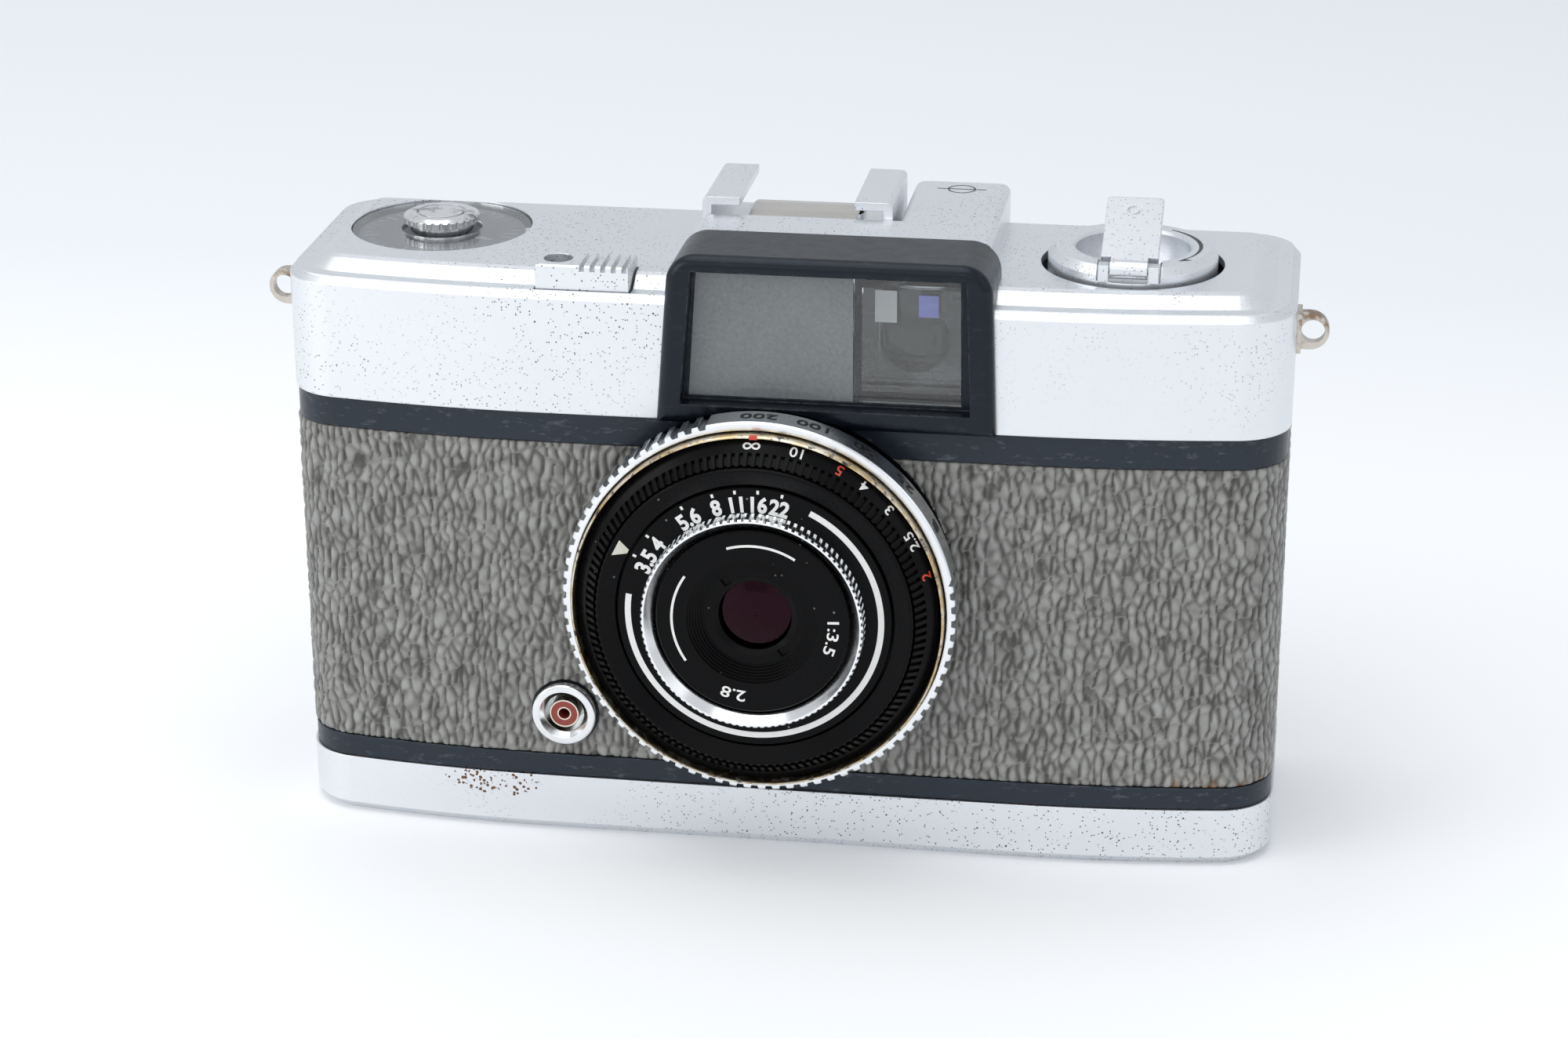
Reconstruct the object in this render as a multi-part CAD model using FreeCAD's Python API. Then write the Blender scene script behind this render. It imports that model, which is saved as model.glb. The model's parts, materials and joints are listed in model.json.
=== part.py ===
import FreeCAD, Part
import os, math
from FreeCAD import Vector as V

os.makedirs("parts", exist_ok=True)

# ---------------------------------------------------------------- dimensions
# Millimetres. +X to the right seen from the lens side, -Y is the lens side,
# +Z up. The origin is on the underside of the base cover.
HALF_W = 54.0            # half width of the body
FRONT_Y = -16.0          # flat part of the front
REAR_Y = 16.5            # back of the body
FLAT_X = 25.2            # the front is flat out to here, then bows back
R_BOW = 158.0            # bow radius of the front
R_FRONT = 6.4            # front corner radius
R_REAR = 5.6             # rear corner radius
Z_BASE = 6.72            # top of the silver base cover
Z_LEATH0 = 9.27          # lower edge of the leatherette
Z_LEATH1 = 46.1          # upper edge of the leatherette
Z_TOP0 = 49.41           # lower edge of the top cover
Z_SHOULDER = 62.9        # shoulder ledge round the top cover
Z_DECK = 64.18           # deck of the top cover
Z_HUMP = 67.75           # roof of the finder hump
T_COVER = 0.8            # sheet thickness of the covers
SEAM_Y = -7.0            # side seam between front shell and back cover
GAP = 0.12               # gap between the removable back and its neighbours
LX, LZ = -0.80, 30.90    # lens axis
FILM_Y = 11.5            # film rails
CASS = (36.38, -0.8)     # cassette and rewind axis
SPOOL = (-38.80, -0.82)  # take-up spool axis
SPROCKET = (-19.516, 5.2)  # sprocket axis
WHEEL = (-31.0, 4.6)     # wind wheel axis
COUNTER = (-39.82, 2.47)  # frame counter axis
R_COUNTER = 9.82
R_WHEEL = 13.6
R_KNOB = 9.02            # rewind knob
SHOE_X = 0.2             # accessory shoe centre
SHOE_W = 18.7            # inside width of the shoe
SHOE_LIP = 12.5          # gap between the lips
SHOE_HOLES = ((-4.6, 3.8), (5.0, 3.8), (-4.6, 9.2), (5.0, 9.2))
R_TRIPOD = 3.175         # 1/4 inch socket
TRIPOD = (-14.0, 2.0)
KEY = (30.0, 0.5)        # lock key on the base
BUTTON_X0, BUTTON_X1 = -25.53, -15.5
BUTTON_Y0, BUTTON_Y1 = -15.0, -9.9
SOCKET = (-23.35, 14.61)  # sync socket, X and Z

TH = math.asin((HALF_W - R_FRONT - FLAT_X) / (R_BOW - R_FRONT))


# ------------------------------------------------------------------- helpers
def save(shape, name):
    shape.exportStep("parts/%s.step" % name)


def box(x0, x1, y0, y1, z0, z1):
    return Part.makeBox(x1 - x0, y1 - y0, z1 - z0, V(x0, y0, z0))


def cyl(r, x, y, z0, z1):
    return Part.makeCylinder(r, z1 - z0, V(x, y, z0), V(0, 0, 1))


def ring(ro, ri, x, y, z0, z1):
    return cyl(ro, x, y, z0, z1).cut(cyl(ri, x, y, z0 - 1, z1 + 1))


def poly_prism(pts, z0, z1):
    w = Part.makePolygon([V(x, y, z0) for x, y in pts] + [V(pts[0][0], pts[0][1], z0)])
    return Part.Face(w).extrude(V(0, 0, z1 - z0))


def rev(pts):
    """Turned piece about Z from (radius, height) points."""
    w = Part.makePolygon([V(r, 0, h) for r, h in pts] + [V(pts[0][0], 0, pts[0][1])])
    return Part.Face(w).revolve(V(0, 0, 0), V(0, 0, 1), 360)


def rev_at(pts, x, y):
    s = rev(pts)
    s.translate(V(x, y, 0))
    return s


def lens(shape):
    """Moves a piece from the lens frame (x right, y up, z forward) into place."""
    s = shape.copy()
    s.rotate(V(0, 0, 0), V(1, 0, 0), 90)
    s.translate(V(LX, FRONT_Y, LZ))
    return s


def fuse(items):
    s = items[0]
    for i in items[1:]:
        s = s.fuse(i)
    return s.removeSplitter()


def compound(items):
    return Part.makeCompound(items)


def outline(d, z):
    """Plan outline of the body, offset inwards by d."""
    r1, r2, r3 = R_BOW - d, R_FRONT - d, R_REAR - d
    c1y = FRONT_Y + R_BOW
    c2x = HALF_W - R_FRONT
    c2y = c1y - (R_BOW - R_FRONT) * math.cos(TH)
    c3x, c3y = HALF_W - R_REAR, REAR_Y - R_REAR

    def p(cx, cy, r, a):
        return V(cx + r * math.sin(a), cy - r * math.cos(a), z)

    a0 = p(FLAT_X, c1y, r1, 0)
    a1 = p(FLAT_X, c1y, r1, TH)
    am = p(FLAT_X, c1y, r1, TH / 2)
    b1 = p(c2x, c2y, r2, math.pi / 2)
    bm = p(c2x, c2y, r2, (TH + math.pi / 2) / 2)
    q0 = p(c3x, c3y, r3, math.pi / 2)
    q1 = p(c3x, c3y, r3, math.pi)
    qm = p(c3x, c3y, r3, 3 * math.pi / 4)

    def m(v):
        return V(-v.x, v.y, v.z)

    e = [Part.LineSegment(m(a0), a0).toShape(),
         Part.Arc(a0, am, a1).toShape(),
         Part.Arc(a1, bm, b1).toShape(),
         Part.LineSegment(b1, q0).toShape(),
         Part.Arc(q0, qm, q1).toShape(),
         Part.LineSegment(q1, m(q1)).toShape(),
         Part.Arc(m(q1), m(qm), m(q0)).toShape(),
         Part.LineSegment(m(q0), m(b1)).toShape(),
         Part.Arc(m(b1), m(bm), m(a1)).toShape(),
         Part.Arc(m(a1), m(am), m(a0)).toShape()]
    return Part.Wire(e)


def prism(d, z0, z1):
    return Part.Face(outline(d, z0)).extrude(V(0, 0, z1 - z0))


def loft(d0, z0, d1, z1):
    return Part.makeLoft([outline(d0, z0), outline(d1, z1)], True, True)


def edges_at(shape, axis, value, tol=0.02, only=None):
    out = []
    for e in shape.Edges:
        b = e.BoundBox
        lo, hi = {"x": (b.XMin, b.XMax), "y": (b.YMin, b.YMax), "z": (b.ZMin, b.ZMax)}[axis]
        if abs(lo - value) < tol and abs(hi - value) < tol:
            if only is None or only(b):
                out.append(e)
    return out


def trapezoid(x0b, x1b, zb, x0t, x1t, zt, y0, y1):
    """Block with a trapezoid front, from y0 back to y1."""
    w = Part.makePolygon([V(x0b, y0, zb), V(x1b, y0, zb), V(x1t, y0, zt), V(x0t, y0, zt), V(x0b, y0, zb)])
    return Part.Face(w).extrude(V(0, y1 - y0, 0))


# -------------------------------------------------------------- base and back
# The base cover and the back come off downwards as one unit.
outer = loft(1.1, 0, 0.0, 1.1).fuse(prism(0.0, 1.1, Z_BASE)).removeSplitter()
base = outer.cut(prism(0.9, 1.0, Z_BASE + 1))
base = base.fuse(cyl(10.6, KEY[0], KEY[1], 0.9, 2.4))
base = base.cut(cyl(R_TRIPOD + 1.4, TRIPOD[0], TRIPOD[1], -1, 3))
base = base.cut(cyl(9.6, KEY[0], KEY[1], -1, 1.5)).cut(cyl(3.38, KEY[0], KEY[1], -1, 3))
base = base.cut(cyl(2.6, -32.0, 3.0, -1, 3))
base = base.removeSplitter()
save(base, "base_cover")

back_outer = prism(0.65, Z_BASE, Z_TOP0 - GAP)
for z0, z1 in ((Z_BASE, Z_LEATH0), (Z_LEATH1, Z_TOP0 - GAP)):
    back_outer = back_outer.fuse(prism(0.25, z0, z1))
back_half = box(-60, 60, SEAM_Y + GAP, 30, Z_BASE - 1, Z_TOP0 + 1)
back = back_outer.cut(prism(1.45, Z_BASE - 1, Z_TOP0 + 1)).common(back_half).removeSplitter()
save(back, "back_cover")

skin = prism(0.05, Z_LEATH0, Z_LEATH1).cut(prism(0.65, Z_LEATH0 - 1, Z_LEATH1 + 1))
save(skin.common(box(-60, 60, SEAM_Y + GAP + 0.5, 30, 0, 60)), "back_covering")

plate = box(-13.2, 16.0, 12.05, 12.75, 14.2, 47.6)
plate = plate.makeFillet(2.0, [e for e in plate.Edges if abs(e.BoundBox.YLength - 0.7) < 0.01 and e.BoundBox.XLength < 0.01])
save(plate, "pressure_plate")
leaf = box(-10, 12.4, 12.75, 13.05, 26.5, 35.3)
for sx in (-10, 11.2):
    leaf = leaf.fuse(box(sx, sx + 1.2, 12.75, 15.05, 26.5, 35.3))
save(leaf.removeSplitter(), "pressure_spring")

bush = cyl(R_TRIPOD + 1.4, TRIPOD[0], TRIPOD[1], 0.0, 1.0).fuse(cyl(6.0, TRIPOD[0], TRIPOD[1], 1.0, 4.5))
bush = bush.cut(cyl(R_TRIPOD, TRIPOD[0], TRIPOD[1], -1, 4.0)).removeSplitter()
save(bush, "tripod_bush")

# Lock key: a turned disc in a recess, with a half-round grip that folds out.
kx, ky = KEY
key = cyl(9.3, kx, ky, 0.15, 1.38)
key = key.cut(cyl(7.6, kx, ky, -1, 2).common(box(kx - 9, kx + 9, ky - 0.9, ky + 9, -1, 2)))
key = key.fuse(cyl(3.3, kx, ky, 1.0, 3.2))
key = key.cut(cyl(7.6, kx, ky, -1, 1.2).common(box(kx - 9, kx + 9, ky - 0.9, ky + 9, -1, 1.2)))
for sx in (-1, 1):
    ear = cyl(0.34, 0, 0, 0, 1.2)
    ear.rotate(V(0, 0, 0), V(0, 1, 0), 90)
    ear.translate(V(kx - 0.6 + sx * 7.4, ky, 0.66))
    key = key.fuse(ear)
key = key.fuse(box(kx - 7.2, kx + 7.2, ky - 1.3, ky + 1.3, 3.2, 3.9))
key = key.removeSplitter()
save(key, "lock_key")
grip = cyl(7.2, kx, ky, 0.25, 1.1).cut(cyl(4.6, kx, ky + 0.4, 0, 2)).common(box(kx - 9, kx + 9, ky + 0.7, ky + 9, 0, 2))
for sx in (-1, 1):
    knuckle = cyl(0.42, 0, 0, 0, 2.0)
    knuckle.rotate(V(0, 0, 0), V(0, 1, 0), 90)
    knuckle.translate(V(kx - 1.0 + sx * 6.0, ky, 0.675))
    arm = box(kx + sx * 6.0 - 0.9, kx + sx * 6.0 + 0.9, ky, ky + 1.6, 0.25, 1.1)
    hole = cyl(0.40, 0, 0, 0, 3.0)
    hole.rotate(V(0, 0, 0), V(0, 1, 0), 90)
    hole.translate(V(kx - 1.5 + sx * 6.9, ky, 0.66))
    grip = grip.fuse(knuckle).fuse(arm).cut(hole)
save(grip.removeSplitter(), "lock_key_grip")

# ------------------------------------------------------------------ front shell
front_outer = prism(0.65, Z_BASE + GAP, Z_TOP0 - 0.02)
for z0, z1 in ((Z_BASE + GAP, Z_LEATH0), (Z_LEATH1, Z_TOP0 - 0.02)):
    front_outer = front_outer.fuse(prism(0.25, z0, z1))
front_half = box(-60, 60, -30, SEAM_Y, 0, Z_TOP0 + 1)
shell = front_outer.cut(prism(1.45, 0, Z_TOP0 + 1)).common(front_half)
shell = shell.cut(lens(cyl(17.2, 0, 0, -4, 2))).cut(lens(cyl(20.25, 0, 0, -0.65, 3)))
shell = shell.cut(Part.makeCylinder(2.75, 8, V(SOCKET[0], -20, SOCKET[1]), V(0, 1, 0)))
save(shell.removeSplitter(), "front_shell")

cover = prism(0.0, Z_LEATH0, Z_LEATH1).cut(prism(0.65, Z_LEATH0 - 1, Z_LEATH1 + 1))
cover = cover.common(box(-60, 60, -30, SEAM_Y, 0, 60))
cover = cover.cut(lens(cyl(20.25, 0, 0, -4, 2)))
cover = cover.cut(Part.makeCylinder(3.75, 8, V(SOCKET[0], -20, SOCKET[1]), V(0, 1, 0)))
save(cover.removeSplitter(), "front_covering")

# --------------------------------------------------------------------- chassis
Z_CH0, Z_CH1 = 4.7, 54.0
Z_BAY = 50.6                       # floor of the gear bay
block = prism(1.6, Z_CH0, Z_CH1).common(box(-60, 60, -30, FILM_Y, 0, 60))
block = block.cut(box(-60, -8.6, -30, 30, Z_BAY, 60))
# cassette chamber, open to the rear
block = block.cut(cyl(12.75, CASS[0], CASS[1], 8.2, 52.9))
block = block.cut(box(CASS[0] - 12.75, CASS[0] + 12.75, CASS[1], 30, 8.2, 52.9))
# take-up chamber, open to the rear
block = block.cut(cyl(11.9, SPOOL[0], SPOOL[1], 9.0, 49.2))
block = block.cut(box(SPOOL[0] - 11.9, SPOOL[0] + 11.9, SPOOL[1], 30, 9.0, 49.2))
# sprocket bay
block = block.cut(cyl(7.0, SPROCKET[0], SPROCKET[1], 11.6, 49.2))
block = block.cut(box(SPROCKET[0] - 7.0, SPROCKET[0] + 7.0, SPROCKET[1], 30, 11.6, 49.2))
# light tunnel and film gate
block = block.cut(box(LX - 9.0, LX + 9.0, -20, 30, LZ - 12.0, LZ + 12.0))
block = block.cut(lens(cyl(17.4, 0, 0, -8.6, 3)))
block = block.cut(lens(cyl(12.6, 0, 0, -12.0, 3)))
# seat of the finder housing and bores for the shafts
block = block.cut(box(-8.0, 22.4, -12.6, 9.9, 50.2, 60))
block = block.cut(box(-12.0, 22.4, -20, 9.9, 51.0, 60))
block = block.cut(cyl(1.58, SPOOL[0], SPOOL[1], 5.5, 60))
block = block.cut(cyl(1.58, SPROCKET[0], SPROCKET[1], 5.5, 60))
block = block.cut(cyl(3.45, CASS[0], CASS[1], 50, 60))
block = block.cut(cyl(2.2, -32.0, 3.0, 0, 6.2))
# room for the sync contact behind the front
block = block.cut(Part.makeCylinder(3.2, 9.4, V(SOCKET[0], -20, SOCKET[1]), V(0, 1, 0)))
# film rails: two inner rails beside the gate and two outer guide rails
for z0, z1 in ((LZ - 17.9, LZ - 16.9), (LZ - 13.6, LZ - 12.4), (LZ + 12.4, LZ + 13.6), (LZ + 16.9, LZ + 17.9)):
    block = block.fuse(box(-12.4, 22.6, FILM_Y - 0.5, FILM_Y + 0.3, z0, z1))
# pivot post of the wind wheel and guide tube of the release button
wx, wy = WHEEL
block = block.fuse(cyl(1.5, wx, wy, Z_BAY - 0.5, 59.6)).fuse(cyl(3.0, wx, wy, Z_BAY - 0.5, 51.0))
block = block.fuse(ring(2.3, 1.28, -20.5, -12.45, Z_BAY, 56.3))
save(block.removeSplitter(), "chassis")

# ------------------------------------------------------------------- top cover
top_solid = prism(0.0, Z_TOP0, 62.1).fuse(loft(0.0, 62.1, 0.7, 62.8)).fuse(prism(0.7, 62.8, Z_SHOULDER))
deck = loft(2.3, Z_SHOULDER, 4.0, 63.95).fuse(loft(4.0, 63.95, 4.7, Z_DECK))
hump_f = box(-11.0, 21.9, -12.0, -0.35, 60, Z_HUMP)
hump_r = box(11.3, 21.9, -1.0, 15.5, 60, Z_HUMP)
hump = hump_f.fuse(hump_r).removeSplitter()
hump = hump.makeFillet(1.3, [e for e in hump.Edges if e.BoundBox.ZLength > 5 and e.BoundBox.YMin > 0])
hump = hump.makeFillet(0.9, [e for e in hump.Edges if e.BoundBox.ZMin > Z_HUMP - 0.1 and e.BoundBox.YMax > -11.5])
# the left shoulder of the hump falls away in a wide round
slope = box(-11.5, -8.0, -13, 1, Z_HUMP - 3.0, Z_HUMP + 1).cut(Part.makeCylinder(3.0, 20, V(-8.0, -15, Z_HUMP - 3.0), V(0, 1, 0)))
hump = hump.cut(slope)
top_solid = top_solid.fuse(deck).fuse(hump).removeSplitter()

inner = prism(T_COVER, Z_TOP0 - 1, 62.0).fuse(prism(3.1, 61.9, 62.6)).fuse(prism(5.0, 62.5, Z_DECK - 0.85))
inner = inner.fuse(box(-8.0, 21.1, -13.0, -1.15, 60, Z_HUMP - T_COVER)).fuse(box(-10.2, -7.9, -13.0, -1.15, 60, Z_HUMP - 3.0))
inner = inner.fuse(Part.makeCylinder(3.0 - T_COVER, 11.85, V(-8.0, -13.0, Z_HUMP - 3.0), V(0, 1, 0)).common(box(-11, -7.9, -14, 0, Z_HUMP - 3.05, 70)))
inner = inner.fuse(box(12.1, 21.1, -2.0, 14.7, 60, Z_HUMP - T_COVER))
top = top_solid.cut(inner)
# finder opening in the front, behind the bezel
top = top.cut(box(-10.4, 21.4, -20, -8.6, 51.2, 70))
top = top.cut(box(-9.9, 21.0, -20, -7.7, 62.4, 70))
top = top.cut(trapezoid(-11.5, 23.17, 64.19, -11.1, 22.97, 70, -20, -7.7))
# counter, rewind knob, release button, wind wheel, eyepiece, lugs
top = top.cut(cyl(R_COUNTER + 0.15, COUNTER[0], COUNTER[1], 60, 70))
top = top.cut(cyl(9.75, CASS[0], CASS[1], 60, 70))
top = top.cut(box(BUTTON_X0 - 0.2, BUTTON_X1 + 0.2, BUTTON_Y0 - 0.2, BUTTON_Y1 + 0.2, 60, 70))
top = top.cut(box(WHEEL[0] - 9.3, WHEEL[0] + 9.3, 14.9, 20, 54.5, 59.6))
top = top.cut(Part.makeCylinder(4.2, 10, V(14.2, 12, 57.2), V(0, 1, 0)))
for sx in (-1, 1):
    top = top.cut(box(min(sx * 50, sx * 58), max(sx * 50, sx * 58), -5.0 - 1.4, -5.0 + 1.4, 58.9 - 1.4, 58.9 + 1.4))
top = top.cut(lens(cyl(20.25, 0, 0, -3, 3)))
for hx, hy in SHOE_HOLES:
    top = top.cut(cyl(0.85, hx, hy, 60, 70))
# bearing bridge of the counter, hung from the deck
cx, cy = COUNTER
bridge = box(cx - 3.5, -26.4, cy - 3.5, cy + 3.5, 60.0, 60.8).fuse(box(cx - 3.5, cx + 3.5, -10.8, cy, 60.0, 60.8))
bridge = bridge.fuse(cyl(1.2, -28.0, cy, 60.8, 63.33)).fuse(cyl(1.2, cx, -9.2, 60.8, 63.33)).cut(cyl(1.56, cx, cy, 59, 62))
top = top.fuse(bridge).removeSplitter()
save(top, "top_cover")

# ---------------------------------------------------------------------- finder
bz = trapezoid(-12.45, 23.56, Z_TOP0 - 0.0, -11.0, 22.9, Z_HUMP + 0.2, -17.6, -7.75)
bz = bz.makeFillet(3.2, [e for e in bz.Edges if e.BoundBox.YLength > 9 and e.BoundBox.ZMin > 60])
bz = bz.makeFillet(1.15, [e for e in bz.Edges if e.BoundBox.YMax < -17.5])
bz_in = trapezoid(-11.3, 22.4, 40, -9.9, 21.8, Z_HUMP - 0.8, -16.0, 0)
bz_in = bz_in.makeFillet(2.3, [e for e in bz_in.Edges if e.BoundBox.YLength > 9 and e.BoundBox.ZMin > 60])
bz = bz.cut(bz_in.common(box(-60, 60, -16.0, 0, 62, 80))).cut(top_solid.common(box(-60, 60, -30, 30, 0, 62.9)).fuse(deck).fuse(box(-60, 60, -15.99, 0, 0, 62)))
plug = trapezoid(-10.3, 21.3, 51.3, -9.4, 20.95, 66.9, -16.3, -13.6)
bezel = bz.fuse(plug)
w_front = trapezoid(-9.75, 20.9, 51.7, -8.5, 20.35, 66.3, -20, -15.5)
w_hole = trapezoid(-9.2, 19.8, 52.1, -8.3, 19.6, 65.7, -20, -10)
bezel = bezel.cut(w_front).cut(w_hole)
bezel = bezel.cut(box(-11.2, 22.1, -12.2, 0, 60, 64.2))
bezel = bezel.cut(lens(cyl(20.6, 0, 0, -1, 6))).removeSplitter()
save(bezel, "viewfinder_bezel")

save(trapezoid(8.38, 20.75, 51.75, 8.38, 20.25, 66.2, -15.48, -14.6).common(
     trapezoid(8.38, 19.78, 52.12, 8.38, 19.58, 65.68, -20, -10)).fuse(
     trapezoid(8.38, 20.75, 51.8, 8.38, 20.22, 66.2, -15.48, -15.02).common(box(8.38, 30, -20, 0, 50, 70))).common(
     trapezoid(8.38, 19.76, 52.14, 8.38, 19.56, 65.66, -20, -10)), "viewfinder_window")
save(trapezoid(-9.16, 8.34, 52.14, -8.26, 8.34, 65.66, -15.48, -14.6), "illumination_window")

house = box(-7.8, 21.2, -12.4, 9.7, 50.2, 51.0)
house = house.fuse(box(20.5, 21.2, -12.4, -0.9, 51.0, 62.0)).fuse(box(-7.8, -7.1, -12.4, 9.7, 51.0, 60.0))
house = house.fuse(box(7.4, 8.1, -12.4, -8.6, 51.0, 62.0))
obj = box(8.9, 19.9, -12.3, -10.9, 52.4, 63.8)
dish = Part.makeSphere(14.0, V(14.4, 2.6, 58.1))
save(obj.cut(dish), "objective_lens")
split = box(-6.4, 6.4, -0.4, 0.4, 52.4, 62.2)
split.rotate(V(0, 0, 0), V(0, 0, 1), 45)
split.translate(V(14.4, -2.4, 0))
mask = box(-6.6, 6.8, -11.6, -11.2, 51.0, 62.4)
for x0, x1, z0, z1 in ((-4.2, 4.4, 60.2, 60.6), (-4.2, 4.4, 53.0, 53.4), (-4.2, -3.8, 54.0, 59.6), (4.0, 4.4, 54.0, 59.6)):
    mask = mask.cut(box(x0, x1, -12, -11, z0, z1))
save(house.fuse(mask).removeSplitter(), "viewfinder_housing")
mirror = box(-5.6, 5.6, -0.4, 0.4, 51.0, 62.2)
mirror.rotate(V(0, 0, 0), V(0, 0, 1), 45)
mirror.translate(V(0.2, -4.6, 0))
save(compound([split, mirror]), "finder_mirrors")
ey = Part.makeCylinder(4.1, 3.5, V(14.2, 13.0, 57.2), V(0, 1, 0)).fuse(Part.makeCylinder(4.75, 1.4, V(14.2, 16.5, 57.2), V(0, 1, 0)))
ey = ey.cut(Part.makeCylinder(3.1, 9, V(14.2, 12, 57.2), V(0, 1, 0))).cut(Part.makeCylinder(3.6, 2.4, V(14.2, 12, 57.2), V(0, 1, 0)))
ey = ey.cut(Part.makeCone(3.1, 4.1, 1.2, V(14.2, 16.8, 57.2), V(0, 1, 0)))
save(ey.removeSplitter(), "eyepiece_ring")
el = Part.makeCylinder(3.6, 1.4, V(14.2, 13.0, 57.2), V(0, 1, 0)).common(Part.makeSphere(11.0, V(14.2, 3.4, 57.2)))
save(el, "eyepiece_lens")

# -------------------------------------------------------------- accessory shoe
so = SHOE_W / 2 + 1.0
shoe = box(SHOE_X - so, SHOE_X + so, -0.3, 13.0, Z_DECK, Z_DECK + 0.8)
for s in (-1, 1):
    side = box(min(s * (so - 1), s * so), max(s * (so - 1), s * so), -0.3, 13.0, Z_DECK, 69.4)
    lip = box(min(s * SHOE_LIP / 2, s * so), max(s * SHOE_LIP / 2, s * so), -0.3, 13.0, 68.5, 69.4)
    rail = side.fuse(lip).removeSplitter()
    rail = rail.makeFillet(0.7, [e for e in rail.Edges if e.BoundBox.YLength > 10 and e.BoundBox.ZMin > 69.3 and abs(abs(e.BoundBox.XMin) - so) < 0.01])
    rail.translate(V(SHOE_X, 0, 0))
    shoe = shoe.fuse(rail)
for hx, hy in SHOE_HOLES:
    shoe = shoe.cut(cyl(0.85, hx, hy, 60, 70))
save(shoe.removeSplitter(), "accessory_shoe")
zs = Z_DECK + 0.8
pts = [(0.4, 0.0), (1.4, 0.0), (3.0, 1.0), (5.0, 1.35), (8.0, 1.35), (10.0, 1.0), (11.6, 0.0), (12.6, 0.0)]
poly = [V(SHOE_X - 5.9, y, zs + h) for y, h in pts] + [V(SHOE_X - 5.9, y, zs + h + 0.28) for y, h in reversed(pts)]
save(Part.Face(Part.makePolygon(poly + [poly[0]])).extrude(V(11.8, 0, 0)), "shoe_spring_plate")
screws = []
for hx, hy in SHOE_HOLES:
    sc = cyl(1.35, hx, hy, zs, zs + 0.55).fuse(cyl(0.8, hx, hy, zs - 2.4, zs)).cut(box(hx - 2, hx + 2, hy - 0.15, hy + 0.15, zs + 0.3, zs + 1))
    screws.append(sc.removeSplitter())
save(compound(screws), "shoe_screws")

# ------------------------------------------------------------------ strap lugs
lugs = []
for sx in (-1, 1):
    def bx(x0, x1, *r):
        return box(min(sx * x0, sx * x1), max(sx * x0, sx * x1), *r)
    eye = Part.makeCylinder(2.0, 1.3, V(sx * 55.4, -5.65, 58.9), V(0, 1, 0)).fuse(bx(54.2, 55.4, -5.65, -4.35, 56.9, 60.9))
    eye = eye.cut(Part.makeCylinder(1.25, 4, V(sx * 55.7, -7, 58.9), V(0, 1, 0)))
    lug = eye.fuse(bx(54.0, 54.5, -6.9, -3.1, 56.8, 61.0)).fuse(bx(52.0, 54.0, -6.35, -3.65, 57.55, 60.25))
    lugs.append(lug.removeSplitter())
save(compound(lugs), "strap_lugs")

# ----------------------------------------------------------------- sync socket
def ycyl(r, y0, y1, x=SOCKET[0], z=SOCKET[1]):
    return Part.makeCylinder(r, y1 - y0, V(x, y0, z), V(0, 1, 0))


sock = ycyl(3.57, -17.05, -15.35).fuse(ycyl(2.65, -15.35, -11.2)).cut(ycyl(2.2, -18, -12.0)).cut(Part.makeCone(2.75, 2.2, 0.7, V(SOCKET[0], -17.06, SOCKET[1]), V(0, 1, 0)))
sock = sock.makeFillet(0.35, [e for e in sock.Edges if e.BoundBox.YMax < -17.0 and e.BoundBox.XLength > 7])
save(sock.removeSplitter(), "sync_socket_shell")
save(ycyl(1.45, -16.5, -12.0).cut(ycyl(0.62, -17, -13.0)), "sync_insulator")

# --------------------------------------------------------------- frame counter
cx, cy = COUNTER
glass = ring(R_COUNTER, 4.45, cx, cy, 63.3, 63.95)
save(glass, "counter_window")
dial = cyl(8.8, cx, cy, 61.7, 61.9).fuse(cyl(9.15, cx, cy, 62.35, 62.9)).fuse(cyl(8.8, cx, cy, 61.9, 62.35)).fuse(cyl(1.5, cx, cy, 59.95, 61.7)).removeSplitter()
save(dial, "counter_dial")
NK = 28
knob = cyl(3.5, cx, cy, 62.9, 64.7).fuse(cyl(4.2, cx, cy, 64.7, 65.35)).fuse(Part.makeCone(4.2, 3.6, 0.35, V(cx, cy, 65.35))).removeSplitter()
for i in range(NK):
    a = 2 * math.pi * i / NK
    knob = knob.cut(cyl(0.24, cx + 4.25 * math.cos(a), cy + 4.25 * math.sin(a), 64.6, 66))
knob = knob.cut(ring(2.75, 2.45, cx, cy, 65.5, 66))
save(knob, "counter_knob")

# --------------------------------------------------------------- release button
bar = box(BUTTON_X0, BUTTON_X1, BUTTON_Y0, BUTTON_Y1, 61.0, 65.6)
bar = bar.makeFillet(0.35, [e for e in bar.Edges if e.BoundBox.ZMin > 65.5])
for i in range(5):
    x = -20.75 + i * 1.14
    bar = bar.cut(box(x, x + 0.5, BUTTON_Y0 - 1, BUTTON_Y1 + 1, 64.95, 66))
bar = bar.cut(cyl(1.57, -23.5, -12.4, 62.6, 66))
RB = (-20.5, -12.45)
bar = bar.fuse(cyl(1.2, RB[0], RB[1], 52.4, 61.0))
save(bar.removeSplitter(), "release_button")
save(ring(2.05, 1.4, RB[0], RB[1], 56.4, 61.0), "release_spring")

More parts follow.
